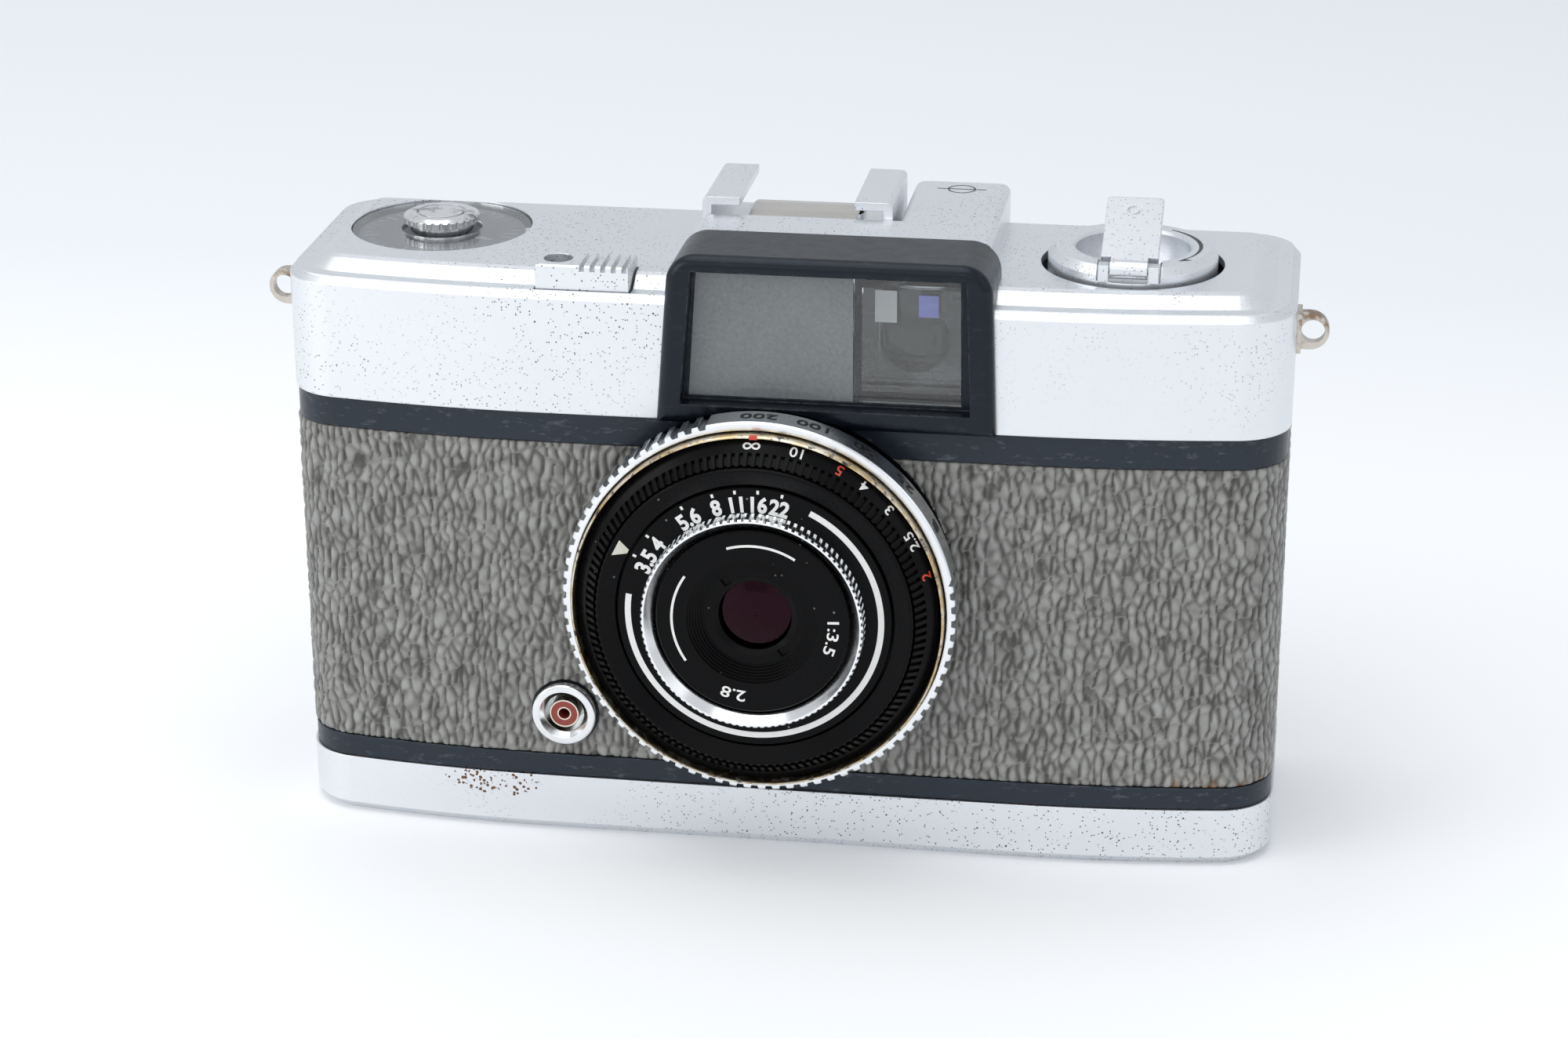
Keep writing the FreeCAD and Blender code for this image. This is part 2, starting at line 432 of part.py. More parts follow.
# ---------------------------------------------------------------------- rewind
rx, ry = CASS
knob = rev_at([(0, 61.4), (7.4, 61.4), (7.4, 62.4), (R_KNOB, 62.4), (R_KNOB, 65.2), (8.18, 66.06), (6.3, 66.06), (6.08, 65.8),
               (6.08, 63.4), (0, 63.4)], rx, ry)
knob = knob.cut(box(rx - 3.35, rx + 3.35, ry - 12, ry - 5.2, 64.55, 70))
for s in (-1, 1):
    ear = box(rx + s * 2.62 - 0.55, rx + s * 2.62 + 0.55, -9.55, -7.9, 64.5, 66.3)
    knob = knob.fuse(ear)
pin_hole = Part.makeCylinder(0.45, 6.3, V(rx - 3.15, -8.7, 65.75), V(1, 0, 0))
knob = knob.fuse(pin_hole).removeSplitter()
knob = knob.cut(cyl(2.3, rx, ry, 61, 62.2))
save(knob, "rewind_knob")
shaft = cyl(2.3, rx, ry, 61.2, 62.2).fuse(cyl(2.4, rx, ry, 47.2, 61.2)).removeSplitter()
shaft = shaft.cut(box(rx - 1.2, rx + 1.2, ry - 3, ry + 3, 46, 50.0))
save(shaft, "rewind_shaft")
save(ring(3.4, 2.48, rx, ry, 52.95, 57.6).fuse(ring(5.0, 2.48, rx, ry, 54.0, 54.8)).removeSplitter(), "rewind_bush")
save(ring(4.0, 2.47, rx, ry, 58.0, 58.8), "rewind_clip")
# Crank: sheet flap with a rolled knuckle, drawn lying flat and then raised.
CR_Y, CR_Z, CR_A = -8.7, 65.75, 21.0
flap = box(rx - 3.0, rx + 3.0, CR_Y + 0.6, CR_Y + 11.6, CR_Z - 0.1, CR_Z + 0.65)
flap = flap.makeFillet(0.5, [e for e in flap.Edges if e.BoundBox.ZLength > 0.6 and e.BoundBox.YMin > 0])
roll = Part.makeCylinder(0.98, 3.9, V(rx - 1.95, CR_Y, CR_Z), V(1, 0, 0))
flap = flap.cut(box(rx - 4, rx - 1.95, CR_Y - 1, CR_Y + 1.35, 60, 70)).cut(box(rx + 1.95, rx + 4, CR_Y - 1, CR_Y + 1.35, 60, 70))
flap = flap.fuse(roll).cut(Part.makeCylinder(0.52, 8, V(rx - 4, CR_Y, CR_Z), V(1, 0, 0)))
flap = flap.cut(ring(0.75, 0.5, rx, CR_Y + 9.4, CR_Z + 0.5, CR_Z + 1)).removeSplitter()
flap.rotate(V(rx, CR_Y, CR_Z), V(1, 0, 0), CR_A)
save(flap, "rewind_crank")

# ------------------------------------------------------------------ wind train
def gear(n, r, z0, z1, x, y, phase, bore=0):
    p = 2 * math.pi / n
    m = 2 * r / n
    pts = []
    for i in range(n):
        a = phase + i * p
        for f, rr in ((-0.27, r - 1.15 * m), (-0.10, r + 0.75 * m), (0.10, r + 0.75 * m), (0.27, r - 1.15 * m)):
            pts.append((x + rr * math.cos(a + f * p), y + rr * math.sin(a + f * p)))
    g = poly_prism(pts, z0, z1)
    return g.cut(cyl(bore, x, y, z0 - 1, z1 + 1)) if bore else g


wx, wy = WHEEL
n_w, n_s, n_t = 20, 26, 18
a_s = math.atan2(SPROCKET[1] - wy, SPROCKET[0] - wx)
a_t = math.atan2(SPOOL[1] - wy, SPOOL[0] - wx)
g_whl = gear(n_w, 5.0, 51.2, 53.8, wx, wy, 0.0, 1.57).fuse(ring(3.0, 1.57, wx, wy, 53.8, 55.0))


def mesh_phase(a_link, n_drive, n_driven):
    """Tooth phase of the driven gear so that a gap meets the driver's tooth."""
    off = (a_link % (2 * math.pi / n_drive)) / (2 * math.pi / n_drive)
    return a_link + math.pi + (0.5 + off) * 2 * math.pi / n_driven


g_spr = (gear(n_s, 6.5, 51.2, 53.8, SPROCKET[0], SPROCKET[1], mesh_phase(a_s, n_w, n_s)))
g_spo = (gear(n_t, 4.5, 51.2, 53.8, SPOOL[0], SPOOL[1], mesh_phase(a_t, n_w, n_t)))
NT = 60
wheel = cyl(R_WHEEL, wx, wy, 55.0, 59.0)
pts = []
for i in range(NT):
    for f, rr in ((0.0, R_WHEEL), (0.5, R_WHEEL), (0.62, R_WHEEL - 0.45), (0.88, R_WHEEL - 0.45)):
        a = 2 * math.pi * (i + f) / NT
        pts.append((wx + rr * math.cos(a), wy + rr * math.sin(a)))
wheel = poly_prism(pts, 55.0, 59.0).cut(cyl(1.57, wx, wy, 50, 60)).cut(ring(11.6, 4.0, wx, wy, 57.2, 60))
save(wheel.fuse(g_whl).removeSplitter(), "wind_wheel")
tx, ty = SPOOL
spool = cyl(5.5, tx, ty, 9.5, 48.7).fuse(cyl(11.0, tx, ty, 9.5, 10.5)).fuse(cyl(11.0, tx, ty, 47.7, 48.7)).cut(cyl(1.5, tx, ty, 0, 60))
spool = spool.cut(box(tx - 0.8, tx + 0.8, ty + 1.9, ty + 7, 14, 44)).removeSplitter()
save(spool, "take_up_spool")
save(g_spo.fuse(cyl(1.5, tx, ty, 6.2, 54.0)).removeSplitter(), "spool_gear_shaft")
px, py = SPROCKET
spr = cyl(4.4, px, py, 13.4, 48.4)
for z0 in (16.4, 43.7):
    spr = spr.fuse(cyl(5.7, px, py, z0 - 0.6, z0 + 2.3))
    pts = []
    for i in range(8):
        for f, rr in ((-0.2, 5.6), (-0.1, 6.55), (0.1, 6.55), (0.2, 5.6)):
            a = 2 * math.pi * (i + f) / 8
            pts.append((px + rr * math.cos(a), py + rr * math.sin(a)))
    spr = spr.fuse(poly_prism(pts, z0, z0 + 1.7))
save(spr.cut(cyl(1.5, px, py, 0, 60)).removeSplitter(), "film_sprocket")
save(g_spr.fuse(cyl(1.5, px, py, 6.2, 54.0)).removeSplitter(), "sprocket_gear_shaft")
save(cyl(2.05, -32.0, 3.0, 0.3, 4.9), "rewind_release_button")

# ------------------------------------------------------------- lens and shutter
# Turned about the lens axis; heights run forward from the front of the body.
hs = rev([(17.0, -8.4), (17.0, -0.65), (20.05, -0.65), (20.05, 3.0), (17.9, 3.0), (17.9, 1.5), (15.8, 1.5), (15.8, -7.4), (8.6, -7.4), (8.6, -8.4)])
for s in (-1, 1):
    hs = hs.fuse(cyl(0.5, s * 1.5, 12.2, -7.5, -6.1))
save(lens(hs.removeSplitter()), "shutter_housing")
save(lens(rev([(19.62, 3.0), (19.92, 3.0), (19.92, 7.75), (19.8, 7.9), (19.7, 7.9), (19.62, 7.8)])), "index_ring")
for s, t0, name in ((-1, -6.95, "shutter_blade_left"), (1, -6.55, "shutter_blade_right")):
    pad = cyl(6.2, s * 1.4, 0, t0, t0 + 0.15).common(box(min(s * -0.9, s * 9), max(s * -0.9, s * 9), -9, 9, t0, t0 + 0.15))
    arm = box(min(s * 0.5, s * 2.5), max(s * 0.5, s * 2.5), 4, 12.2, t0, t0 + 0.15).fuse(cyl(1.0, s * 1.5, 12.2, t0, t0 + 0.15))
    save(lens(pad.fuse(arm).cut(cyl(0.56, s * 1.5, 12.2, t0 - 1, t0 + 1)).removeSplitter()), name)

NTEETH = 84
pts = []
for i in range(NTEETH):
    for f, rr in ((0.0, 21.04), (0.42, 21.04), (0.50, 20.60), (0.92, 20.60)):
        a = 2 * math.pi * (i + f) / NTEETH
        deg = math.degrees(a) % 360
        if 12 < deg < 105:
            rr = 21.04
        pts.append((rr * math.cos(a), rr * math.sin(a)))
sr = poly_prism(pts, 3.2, 6.62).cut(cyl(20.12, 0, 0, 2, 8))
sr = sr.cut(rev([(20.85, 6.62), (22, 6.62), (22, 5.9), (21.04, 6.42)]))
save(lens(sr.removeSplitter()), "speed_ring")

fr = rev([(17.1, 4.6), (19.32, 4.6), (19.32, 7.2), (18.2, 8.15), (17.2, 9.29), (17.1, 9.3)])
NR = 130
for i in range(NR):
    g = Part.Face(Part.makePolygon([V(17.93, -0.21, 7.91), V(16.48, -0.21, 9.56), V(17.23, -0.21, 10.22), V(18.68, -0.21, 8.57), V(17.93, -0.21, 7.91)])).extrude(V(0, 0.42, 0))
    g.rotate(V(0, 0, 0), V(0, 0, 1), 360.0 / NR * i)
    fr = fr.cut(g)
save(lens(fr), "focus_ring")
save(lens(rev([(12.9, 2.0), (16.9, 2.0), (16.9, 9.25), (16.75, 9.4), (16.5, 9.4), (14.88, 8.72), (14.88, 7.4), (12.9, 7.4)])), "index_dish")
barrel = rev([(7.5, -4.8), (12.9, -4.8), (12.9, 7.4), (10.88, 7.4), (10.88, 8.8), (7.5, 8.8)])
ar = rev([(11.0, 7.65), (14.65, 7.65), (14.65, 8.75), (14.55, 8.9), (11.4, 8.9), (11.0, 8.5)])
save(lens(ar), "aperture_ring")
cg = rev([(11.4, 8.9), (11.82, 8.9), (11.82, 10.8), (11.7, 10.95), (11.45, 10.95), (10.58, 9.8), (10.58, 9.3), (11.0, 8.92), (11.0, 8.55), (11.38, 8.9)])
cg = rev([(10.58, 9.1), (11.0, 8.9), (11.82, 8.9), (11.82, 10.8), (11.7, 10.95), (11.45, 10.95), (10.58, 9.8)])
NG = 96
for i in range(NG):
    a = 360.0 / NG * i
    g = box(11.62, 12.4, -0.17, 0.17, 9.0, 11.2)
    g.rotate(V(0, 0, 0), V(0, 0, 1), a)
    cg = cg.cut(g)
save(lens(cg), "aperture_grip_ring")
cone = [(7.0, 10.1)]
r, t = 7.0, 10.1
for i in range(6):
    cone += [(r, t - 0.25), (r - 0.25, t - 0.25)]
    r, t = r - 0.25, t - 0.25
nr = [(5.0, 4.8), (7.45, 4.8), (7.45, 8.8), (10.3, 8.8), (10.3, 9.95), (10.15, 10.1)] + cone[0:] + [(5.5, 7.9), (5.0, 7.9)]
rt = rev([(3.9, 7.95), (5.42, 7.95), (5.42, 8.5), (4.5, 8.5), (3.9, 8.2)])
for a in (128, 308):
    g = box(4.4, 6, -0.45, 0.45, 8.2, 9)
    g.rotate(V(0, 0, 0), V(0, 0, 1), a)
    rt = rt.cut(g)
save(lens(rev(nr).fuse(rt.fuse(rev([(5.35, 7.95), (5.52, 7.95), (5.52, 8.5), (5.35, 8.5)]))).removeSplitter()), "name_ring")
save(lens(rev([(0, 6.1), (4.95, 5.6), (4.95, 7.3), (3.8, 7.62), (2.6, 7.86), (1.3, 8.0), (0, 8.05)])), "front_lens")
barrel = barrel.fuse(rev([(4.6, -4.8), (8.0, -4.8), (8.0, 0.95), (4.4, 0.95), (4.4, -0.2), (4.6, -0.2)]))
save(compound([lens(rev([(0, -1.2), (4.55, -2.0), (4.55, -0.25), (0, -0.6)])),
               lens(rev([(0, -4.6), (4.55, -3.9), (4.55, -2.6), (0, -2.2)]))]), "rear_lenses")
for k in range(5):
    a = math.radians(72 * k + 36)
    barrel = barrel.fuse(cyl(0.3, 6.6 * math.cos(a), 6.6 * math.sin(a), 0.9, 3.0))
save(lens(barrel.removeSplitter()), "lens_barrel")
for k in range(5):
    t0 = 1.2 + 0.32 * k
    a0 = 72 * k + 36
    sec = rev([(4.2, t0), (6.15, t0), (6.15, t0 + 0.14), (4.2, t0 + 0.14)])
    wedge = Part.makeCylinder(9, 1, V(0, 0, t0 - 0.4), V(0, 0, 1), 112)
    wedge.rotate(V(0, 0, 0), V(0, 0, 1), a0 - 6)
    pa = math.radians(a0)
    bl = sec.common(wedge).fuse(cyl(0.72, 6.6 * math.cos(pa), 6.6 * math.sin(pa), t0, t0 + 0.14)).removeSplitter()
    bl = bl.cut(cyl(0.36, 6.6 * math.cos(math.radians(a0)), 6.6 * math.sin(math.radians(a0)), t0 - 1, t0 + 1))
    save(lens(bl), "aperture_blade_%d" % (k + 1))
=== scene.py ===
import bpy, bmesh, math, json, random
import numpy as np
from mathutils import Vector, Matrix


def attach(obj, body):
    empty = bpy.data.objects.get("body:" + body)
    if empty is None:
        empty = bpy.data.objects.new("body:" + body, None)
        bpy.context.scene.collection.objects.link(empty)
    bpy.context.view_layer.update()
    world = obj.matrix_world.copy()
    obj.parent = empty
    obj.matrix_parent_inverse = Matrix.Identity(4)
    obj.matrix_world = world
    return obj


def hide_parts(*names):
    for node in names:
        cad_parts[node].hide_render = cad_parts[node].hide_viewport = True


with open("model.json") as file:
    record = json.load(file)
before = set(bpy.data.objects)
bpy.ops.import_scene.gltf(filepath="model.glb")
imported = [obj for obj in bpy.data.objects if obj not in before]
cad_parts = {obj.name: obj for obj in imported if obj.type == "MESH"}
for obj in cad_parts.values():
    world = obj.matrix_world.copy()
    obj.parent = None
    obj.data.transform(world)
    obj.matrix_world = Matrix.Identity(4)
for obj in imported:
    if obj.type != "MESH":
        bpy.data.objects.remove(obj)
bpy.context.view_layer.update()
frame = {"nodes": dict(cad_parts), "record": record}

random.seed(7)
MM = 0.001
NODES = frame["nodes"]

# ------------------------------------------------------------------ dimensions (mm)
HALF_W, FRONT_Y, REAR_Y = 54.0, -16.0, 16.5
FLAT_X, R_BOW, R_FRONT, R_REAR = 25.2, 158.0, 6.4, 5.6
TH = math.asin((HALF_W - R_FRONT - FLAT_X) / (R_BOW - R_FRONT))
LX, LZ = -0.80, 30.90
Z_LEATH0, Z_LEATH1 = 9.27, 46.1
SEAM_Y = -7.0
SOCKET = (-23.35, 14.61)
CASS = (36.38, -0.8)
COUNTER = (-39.82, 2.47)
Z_HUMP = 67.75


# ------------------------------------------------------------------------ materials
class Mat:
    """A small node-material builder. Texture coordinates are the object's own, in metres."""

    def __init__(self, name, color=(0.5, 0.5, 0.5), metallic=0.0, rough=0.5, **kw):
        m = bpy.data.materials.new(name)
        m.use_nodes = True
        self.m, self.nt = m, m.node_tree
        self.n, self.l = self.nt.nodes, self.nt.links
        self.b = self.n["Principled BSDF"]
        self.b.inputs["Base Color"].default_value = (*color, 1)
        self.b.inputs["Metallic"].default_value = metallic
        self.b.inputs["Roughness"].default_value = rough
        for k, v in kw.items():
            self.b.inputs[k.replace("_", " ")].default_value = v
        self.tc = self.n.new("ShaderNodeTexCoord")
        self.height = None

    def mapping(self, scale=(1, 1, 1), rot=(0, 0, 0)):
        mp = self.n.new("ShaderNodeMapping")
        mp.inputs["Scale"].default_value = scale
        mp.inputs["Rotation"].default_value = rot
        self.l.new(self.tc.outputs["Object"], mp.inputs["Vector"])
        return mp.outputs["Vector"]

    def noise(self, scale, detail=3.0, rough=0.55, vec=None, dist=0.0):
        t = self.n.new("ShaderNodeTexNoise")
        t.inputs["Scale"].default_value = scale
        t.inputs["Detail"].default_value = detail
        t.inputs["Roughness"].default_value = rough
        t.inputs["Distortion"].default_value = dist
        self.l.new(vec or self.tc.outputs["Object"], t.inputs["Vector"])
        return t.outputs["Fac"]

    def voronoi(self, scale, vec=None, feature="F1"):
        t = self.n.new("ShaderNodeTexVoronoi")
        t.feature = feature
        t.inputs["Scale"].default_value = scale
        self.l.new(vec or self.tc.outputs["Object"], t.inputs["Vector"])
        return t

    def ramp(self, fac, stops):
        r = self.n.new("ShaderNodeValToRGB")
        els = r.color_ramp.elements
        while len(els) < len(stops):
            els.new(0.5)
        for e, (p, c) in zip(els, stops):
            e.position = p
            e.color = (c, c, c, 1) if not hasattr(c, "__len__") else (*c, 1)
        self.l.new(fac, r.inputs["Fac"])
        return r.outputs["Color"]

    def math(self, op, a, b=None):
        t = self.n.new("ShaderNodeMath")
        t.operation = op
        for i, v in enumerate((a, b)):
            if v is None:
                continue
            if isinstance(v, (int, float)):
                t.inputs[i].default_value = v
            else:
                self.l.new(v, t.inputs[i])
        return t.outputs[0]

    def mix(self, fac, a, b):
        t = self.n.new("ShaderNodeMix")
        t.data_type = "RGBA"
        for sock, v in ((t.inputs[0], fac), (t.inputs[6], a), (t.inputs[7], b)):
            if isinstance(v, (int, float)):
                sock.default_value = v
            elif isinstance(v, tuple):
                sock.default_value = (*v, 1)
            else:
                self.l.new(v, sock)
        return t.outputs[2]

    def color(self, out):
        self.l.new(out, self.b.inputs["Base Color"])

    def roughness(self, fac, lo, hi):
        r = self.n.new("ShaderNodeMapRange")
        r.inputs["To Min"].default_value = lo
        r.inputs["To Max"].default_value = hi
        self.l.new(fac, r.inputs["Value"])
        self.l.new(r.outputs[0], self.b.inputs["Roughness"])

    def bevel(self, radius):
        t = self.n.new("ShaderNodeBevel")
        t.samples = 4
        t.inputs["Radius"].default_value = radius
        self.bev = t.outputs[0]
        return self.bev

    def bump(self, height, strength, dist, normal=None):
        t = self.n.new("ShaderNodeBump")
        t.inputs["Strength"].default_value = strength
        t.inputs["Distance"].default_value = dist
        self.l.new(height, t.inputs["Height"])
        if normal is not None:
            self.l.new(normal, t.inputs["Normal"])
        self.l.new(t.outputs[0], self.b.inputs["Normal"])
        return t.outputs[0]


def specks(M, scale, share, size, where=None):
    """Sparse small spots: 1 inside a spot, 0 elsewhere."""
    v = M.voronoi(scale)
    near = M.ramp(v.outputs["Distance"], [(size * 0.55, 1.0), (size, 0.0)])
    sep = M.n.new("ShaderNodeSeparateColor")
    M.l.new(v.outputs["Color"], sep.inputs[0])
    pick = M.math("LESS_THAN", sep.outputs[0], share)
    f = M.math("MULTIPLY", near, pick)
    if where is not None:
        f = M.math("MULTIPLY", f, where)
    return f


def satin(name, base=(0.79, 0.81, 0.838), rough=0.33, pits=True, metallic=0.92, rust=False):
    M = Mat(name, base, metallic, rough)
    cloud = M.noise(45, 4, 0.6)
    col = M.mix(cloud, tuple(c * 0.95 for c in base), tuple(min(1, c * 1.04) for c in base))
    grain = M.noise(5200, 3, 0.7)
    if pits:
        patch = M.ramp(M.noise(30, 3, 0.6), [(0.42, 0.06), (0.57, 1.0)])
        s1 = specks(M, 4000, 0.16, 0.42, patch)
        s2 = specks(M, 2200, 0.026, 0.32, patch)
        both = M.math("MAXIMUM", s1, s2)
        col = M.mix(both, col, (0.085, 0.085, 0.092))
        h = M.math("SUBTRACT", grain, M.math("MULTIPLY", both, 1.5))
    else:
        h = grain
    if rust:
        # brown spots low on the left of the front
        sep = M.n.new("ShaderNodeSeparateXYZ")
        M.l.new(M.tc.outputs["Object"], sep.inputs[0])
        dx = M.math("MULTIPLY", M.math("ADD", sep.outputs[0], 0.0318), 1 / 0.0062)
        dz = M.math("MULTIPLY", M.math("ADD", sep.outputs[2], -0.0060), 1 / 0.0026)
        d2 = M.math("ADD", M.math("MULTIPLY", dx, dx), M.math("MULTIPLY", dz, dz))
        near = M.math("MULTIPLY", M.ramp(d2, [(0.0, 1.0), (1.0, 0.0)]), M.math("LESS_THAN", sep.outputs[1], 0.0))
        s3 = specks(M, 2400, 0.60, 0.55, M.math("MULTIPLY", near, M.ramp(M.noise(900, 4, 0.7), [(0.40, 0.0), (0.55, 1.6)])))
        s3 = M.math("GREATER_THAN", s3, 0.28)
        col = M.mix(s3, col, (0.16, 0.085, 0.045))
    M.color(col)
    M.roughness(M.noise(900, 3, 0.6), rough - 0.06, rough + 0.08)
    M.bump(h, 0.10, 0.00003, M.bevel(0.00018))
    return M.m


def dark_paint(name, base=(0.013, 0.017, 0.024), rough=0.32, edge=(0.13, 0.14, 0.16), wear=0.55, wrinkle=3.0, scuffs=0.42, spec=0.4):
    M = Mat(name, base, 0.0, rough)
    M.b.inputs["Specular IOR Level"].default_value = spec
    M.b.inputs["Specular Tint"].default_value = (0.80, 0.90, 1.0, 1)
    cloud = M.noise(60, 4, 0.6)
    col = M.mix(cloud, tuple(c * 0.8 for c in base), tuple(c * 1.3 for c in base))
    bev = M.bevel(0.00025)
    geo = M.n.new("ShaderNodeNewGeometry")
    dot = M.n.new("ShaderNodeVectorMath")
    dot.operation = "DOT_PRODUCT"
    M.l.new(bev, dot.inputs[0])
    M.l.new(geo.outputs["Normal"], dot.inputs[1])
    e = M.ramp(dot.outputs["Value"], [(0.86, 1.0), (0.985, 0.0)])
    e = M.math("MULTIPLY", e, M.ramp(M.noise(700, 4, 0.7), [(0.45, 0.0), (0.62, wear)]))
    scuff = M.ramp(M.noise(420, 5, 0.75, M.mapping((1, 1, 3.0))), [(0.57, 0.0), (0.68, scuffs)])
    f = M.math("MAXIMUM", e, scuff)
    col = M.mix(f, col, edge)
    M.color(col)
    M.roughness(M.noise(650, 4, 0.6), rough - 0.08, rough + 0.12)
    M.bump(M.math("ADD", M.noise(1500, 4, 0.6), M.math("MULTIPLY", M.noise(330, 3, 0.6, M.mapping((1, 1, 1.6))), wrinkle)), 0.22, 0.00010, bev)
    return M.m


def black_satin(name, base=(0.0022, 0.0022, 0.0025), rough=0.25, spec=0.09):
    M = Mat(name, base, 0.0, rough)
    M.b.inputs["Specular IOR Level"].default_value = spec
    cloud = M.noise(180, 4, 0.6)
    dust = specks(M, 1400, 0.03, 0.22)
    col = M.mix(cloud, tuple(c * 0.7 for c in base), tuple(c * 1.5 for c in base))
    col = M.mix(dust, col, (0.16, 0.16, 0.16))
    M.color(col)
    M.roughness(M.noise(700, 3, 0.6), rough - 0.07, rough + 0.1)
    M.bump(M.noise(3600, 3, 0.6), 0.06, 0.00003, M.bevel(0.00008))
    return M.m


def metal(name, base, rough=0.2, aniso=0.0, brush=None, stain=None):
    M = Mat(name, base, 1.0, rough)
    M.b.inputs["Anisotropic"].default_value = aniso
    cloud = M.noise(320, 4, 0.6)
    col = M.mix(cloud, tuple(c * 0.86 for c in base), tuple(min(1, c * 1.06) for c in base))
    if stain:
        f = M.ramp(M.noise(420, 5, 0.7), [(0.52, 0.0), (0.64, 0.85)])
        col = M.mix(f, col, stain)
    M.color(col)
    vec = M.mapping(brush) if brush else None
    g = M.noise(1600, 4, 0.65, vec)
    M.roughness(g, max(0.03, rough - 0.06), rough + 0.1)
    M.bump(g, 0.07, 0.00002, M.bevel(0.00008))
    return M.m


def leather_mat():
    M = Mat("leatherette_grain_and_painted_shade", (0.15, 0.15, 0.14), 0.0, 0.52)
    at = M.n.new("ShaderNodeAttribute")
    at.attribute_name = "grain"
    h = at.outputs["Fac"]
    # colour follows the grain height: painted shade darkens the valleys and a painted highlight lightens the bead tops
    base = M.ramp(h, [(0.0, (0.028, 0.027, 0.024)), (0.34, (0.092, 0.090, 0.081)), (0.70, (0.222, 0.221, 0.206)), (1.0, (0.320, 0.322, 0.308))])
    tone = M.ramp(M.noise(55, 4, 0.6), [(0.3, 0.95), (0.7, 1.03)])
    mul = M.n.new("ShaderNodeMix")
    mul.data_type = "RGBA"
    mul.blend_type = "MULTIPLY"
    mul.inputs[0].default_value = 1.0
    M.l.new(base, mul.inputs[6])
    M.l.new(tone, mul.inputs[7])
    col = mul.outputs[2]
    # a little rust along the lower right edge
    sep = M.n.new("ShaderNodeSeparateXYZ")
    M.l.new(M.tc.outputs["Object"], sep.inputs[0])
    low = M.ramp(M.math("MULTIPLY", M.math("SUBTRACT", sep.outputs[2], 0.0092), 1 / 0.0016), [(0.0, 1.0), (1.0, 0.0)])
    right = M.math("GREATER_THAN", sep.outputs[0], 0.043)
    rust = M.math("MULTIPLY", M.math("MULTIPLY", low, right), M.ramp(M.noise(700, 4, 0.7), [(0.45, 0.0), (0.6, 1.0)]))
    col = M.mix(rust, col, (0.17, 0.075, 0.02))
    M.color(col)
    fine = M.noise(3800, 4, 0.65)
    M.roughness(fine, 0.20, 0.50)
    M.bump(fine, 0.5, 0.00007)
    return M.m


def glass(name, tint=(1, 1, 1), rough=0.0, ior=1.5, spec_tint=None, haze=0.05):
    M = Mat(name, tint, 0.0, rough)
    M.b.inputs["Transmission Weight"].default_value = 1.0
    M.b.inputs["IOR"].default_value = ior
    if spec_tint:
        M.b.inputs["Specular Tint"].default_value = (*spec_tint, 1)
    smear = M.noise(160, 4, 0.6)
    col = M.mix(smear, tuple(c * 0.93 for c in tint), tint)
    M.color(col)
    M.roughness(M.ramp(M.noise(260, 5, 0.7), [(0.5, 0.0), (0.8, 1.0)]), rough, rough + haze)
    return M.m


def frosted():
    M = Mat("frosted_window_face", (0.16, 0.175, 0.175), 0.0, 0.42)
    a = M.noise(2600, 3, 0.7)
    b = M.noise(110, 4, 0.6)
    c1 = M.mix(b, (0.100, 0.114, 0.118), (0.165, 0.182, 0.184))
    c2 = M.mix(M.ramp(a, [(0.35, 0.0), (0.7, 0.5)]), c1, (0.22, 0.237, 0.24))
    M.color(c2)
    M.roughness(a, 0.3, 0.5)
    M.bump(a, 0.15, 0.00004)
    M.b.inputs["Coat Weight"].default_value = 0.35
    M.b.inputs["Coat Roughness"].default_value = 0.06
    return M.m


def worn_brass():
    M = Mat("worn_edge", (0.03, 0.025, 0.02), 0.0, 0.3)
    f = M.noise(260, 5, 0.7)
    g = M.noise(1500, 4, 0.7)
    brass = M.mix(g, (0.42, 0.27, 0.10), (0.72, 0.56, 0.30))
    light = M.mix(M.ramp(f, [(0.42, 0.0), (0.58, 1.0)]), brass, (0.80, 0.74, 0.62))
    keep = M.ramp(M.noise(900, 5, 0.7), [(0.38, 1.0), (0.47, 0.0)])
    M.color(M.mix(keep, light, (0.03, 0.024, 0.018)))
    inv = M.ramp(M.noise(900, 5, 0.7), [(0.38, 0.0), (0.47, 1.0)])
    M.l.new(inv, M.b.inputs["Metallic"])
    M.roughness(g, 0.22, 0.42)
    M.bump(g, 0.1, 0.00003)
    return M.m


def paint(name, base, rough=0.45):
    M = Mat(name, base, 0.0, rough)
    M.color(M.mix(M.noise(1200, 4, 0.6), tuple(c * 0.86 for c in base), tuple(min(1, c * 1.05) for c in base)))
    M.roughness(M.noise(900, 3, 0.6), rough - 0.08, rough + 0.1)
    M.bump(M.noise(2500, 3, 0.6), 0.08, 0.00002)
    return M.m


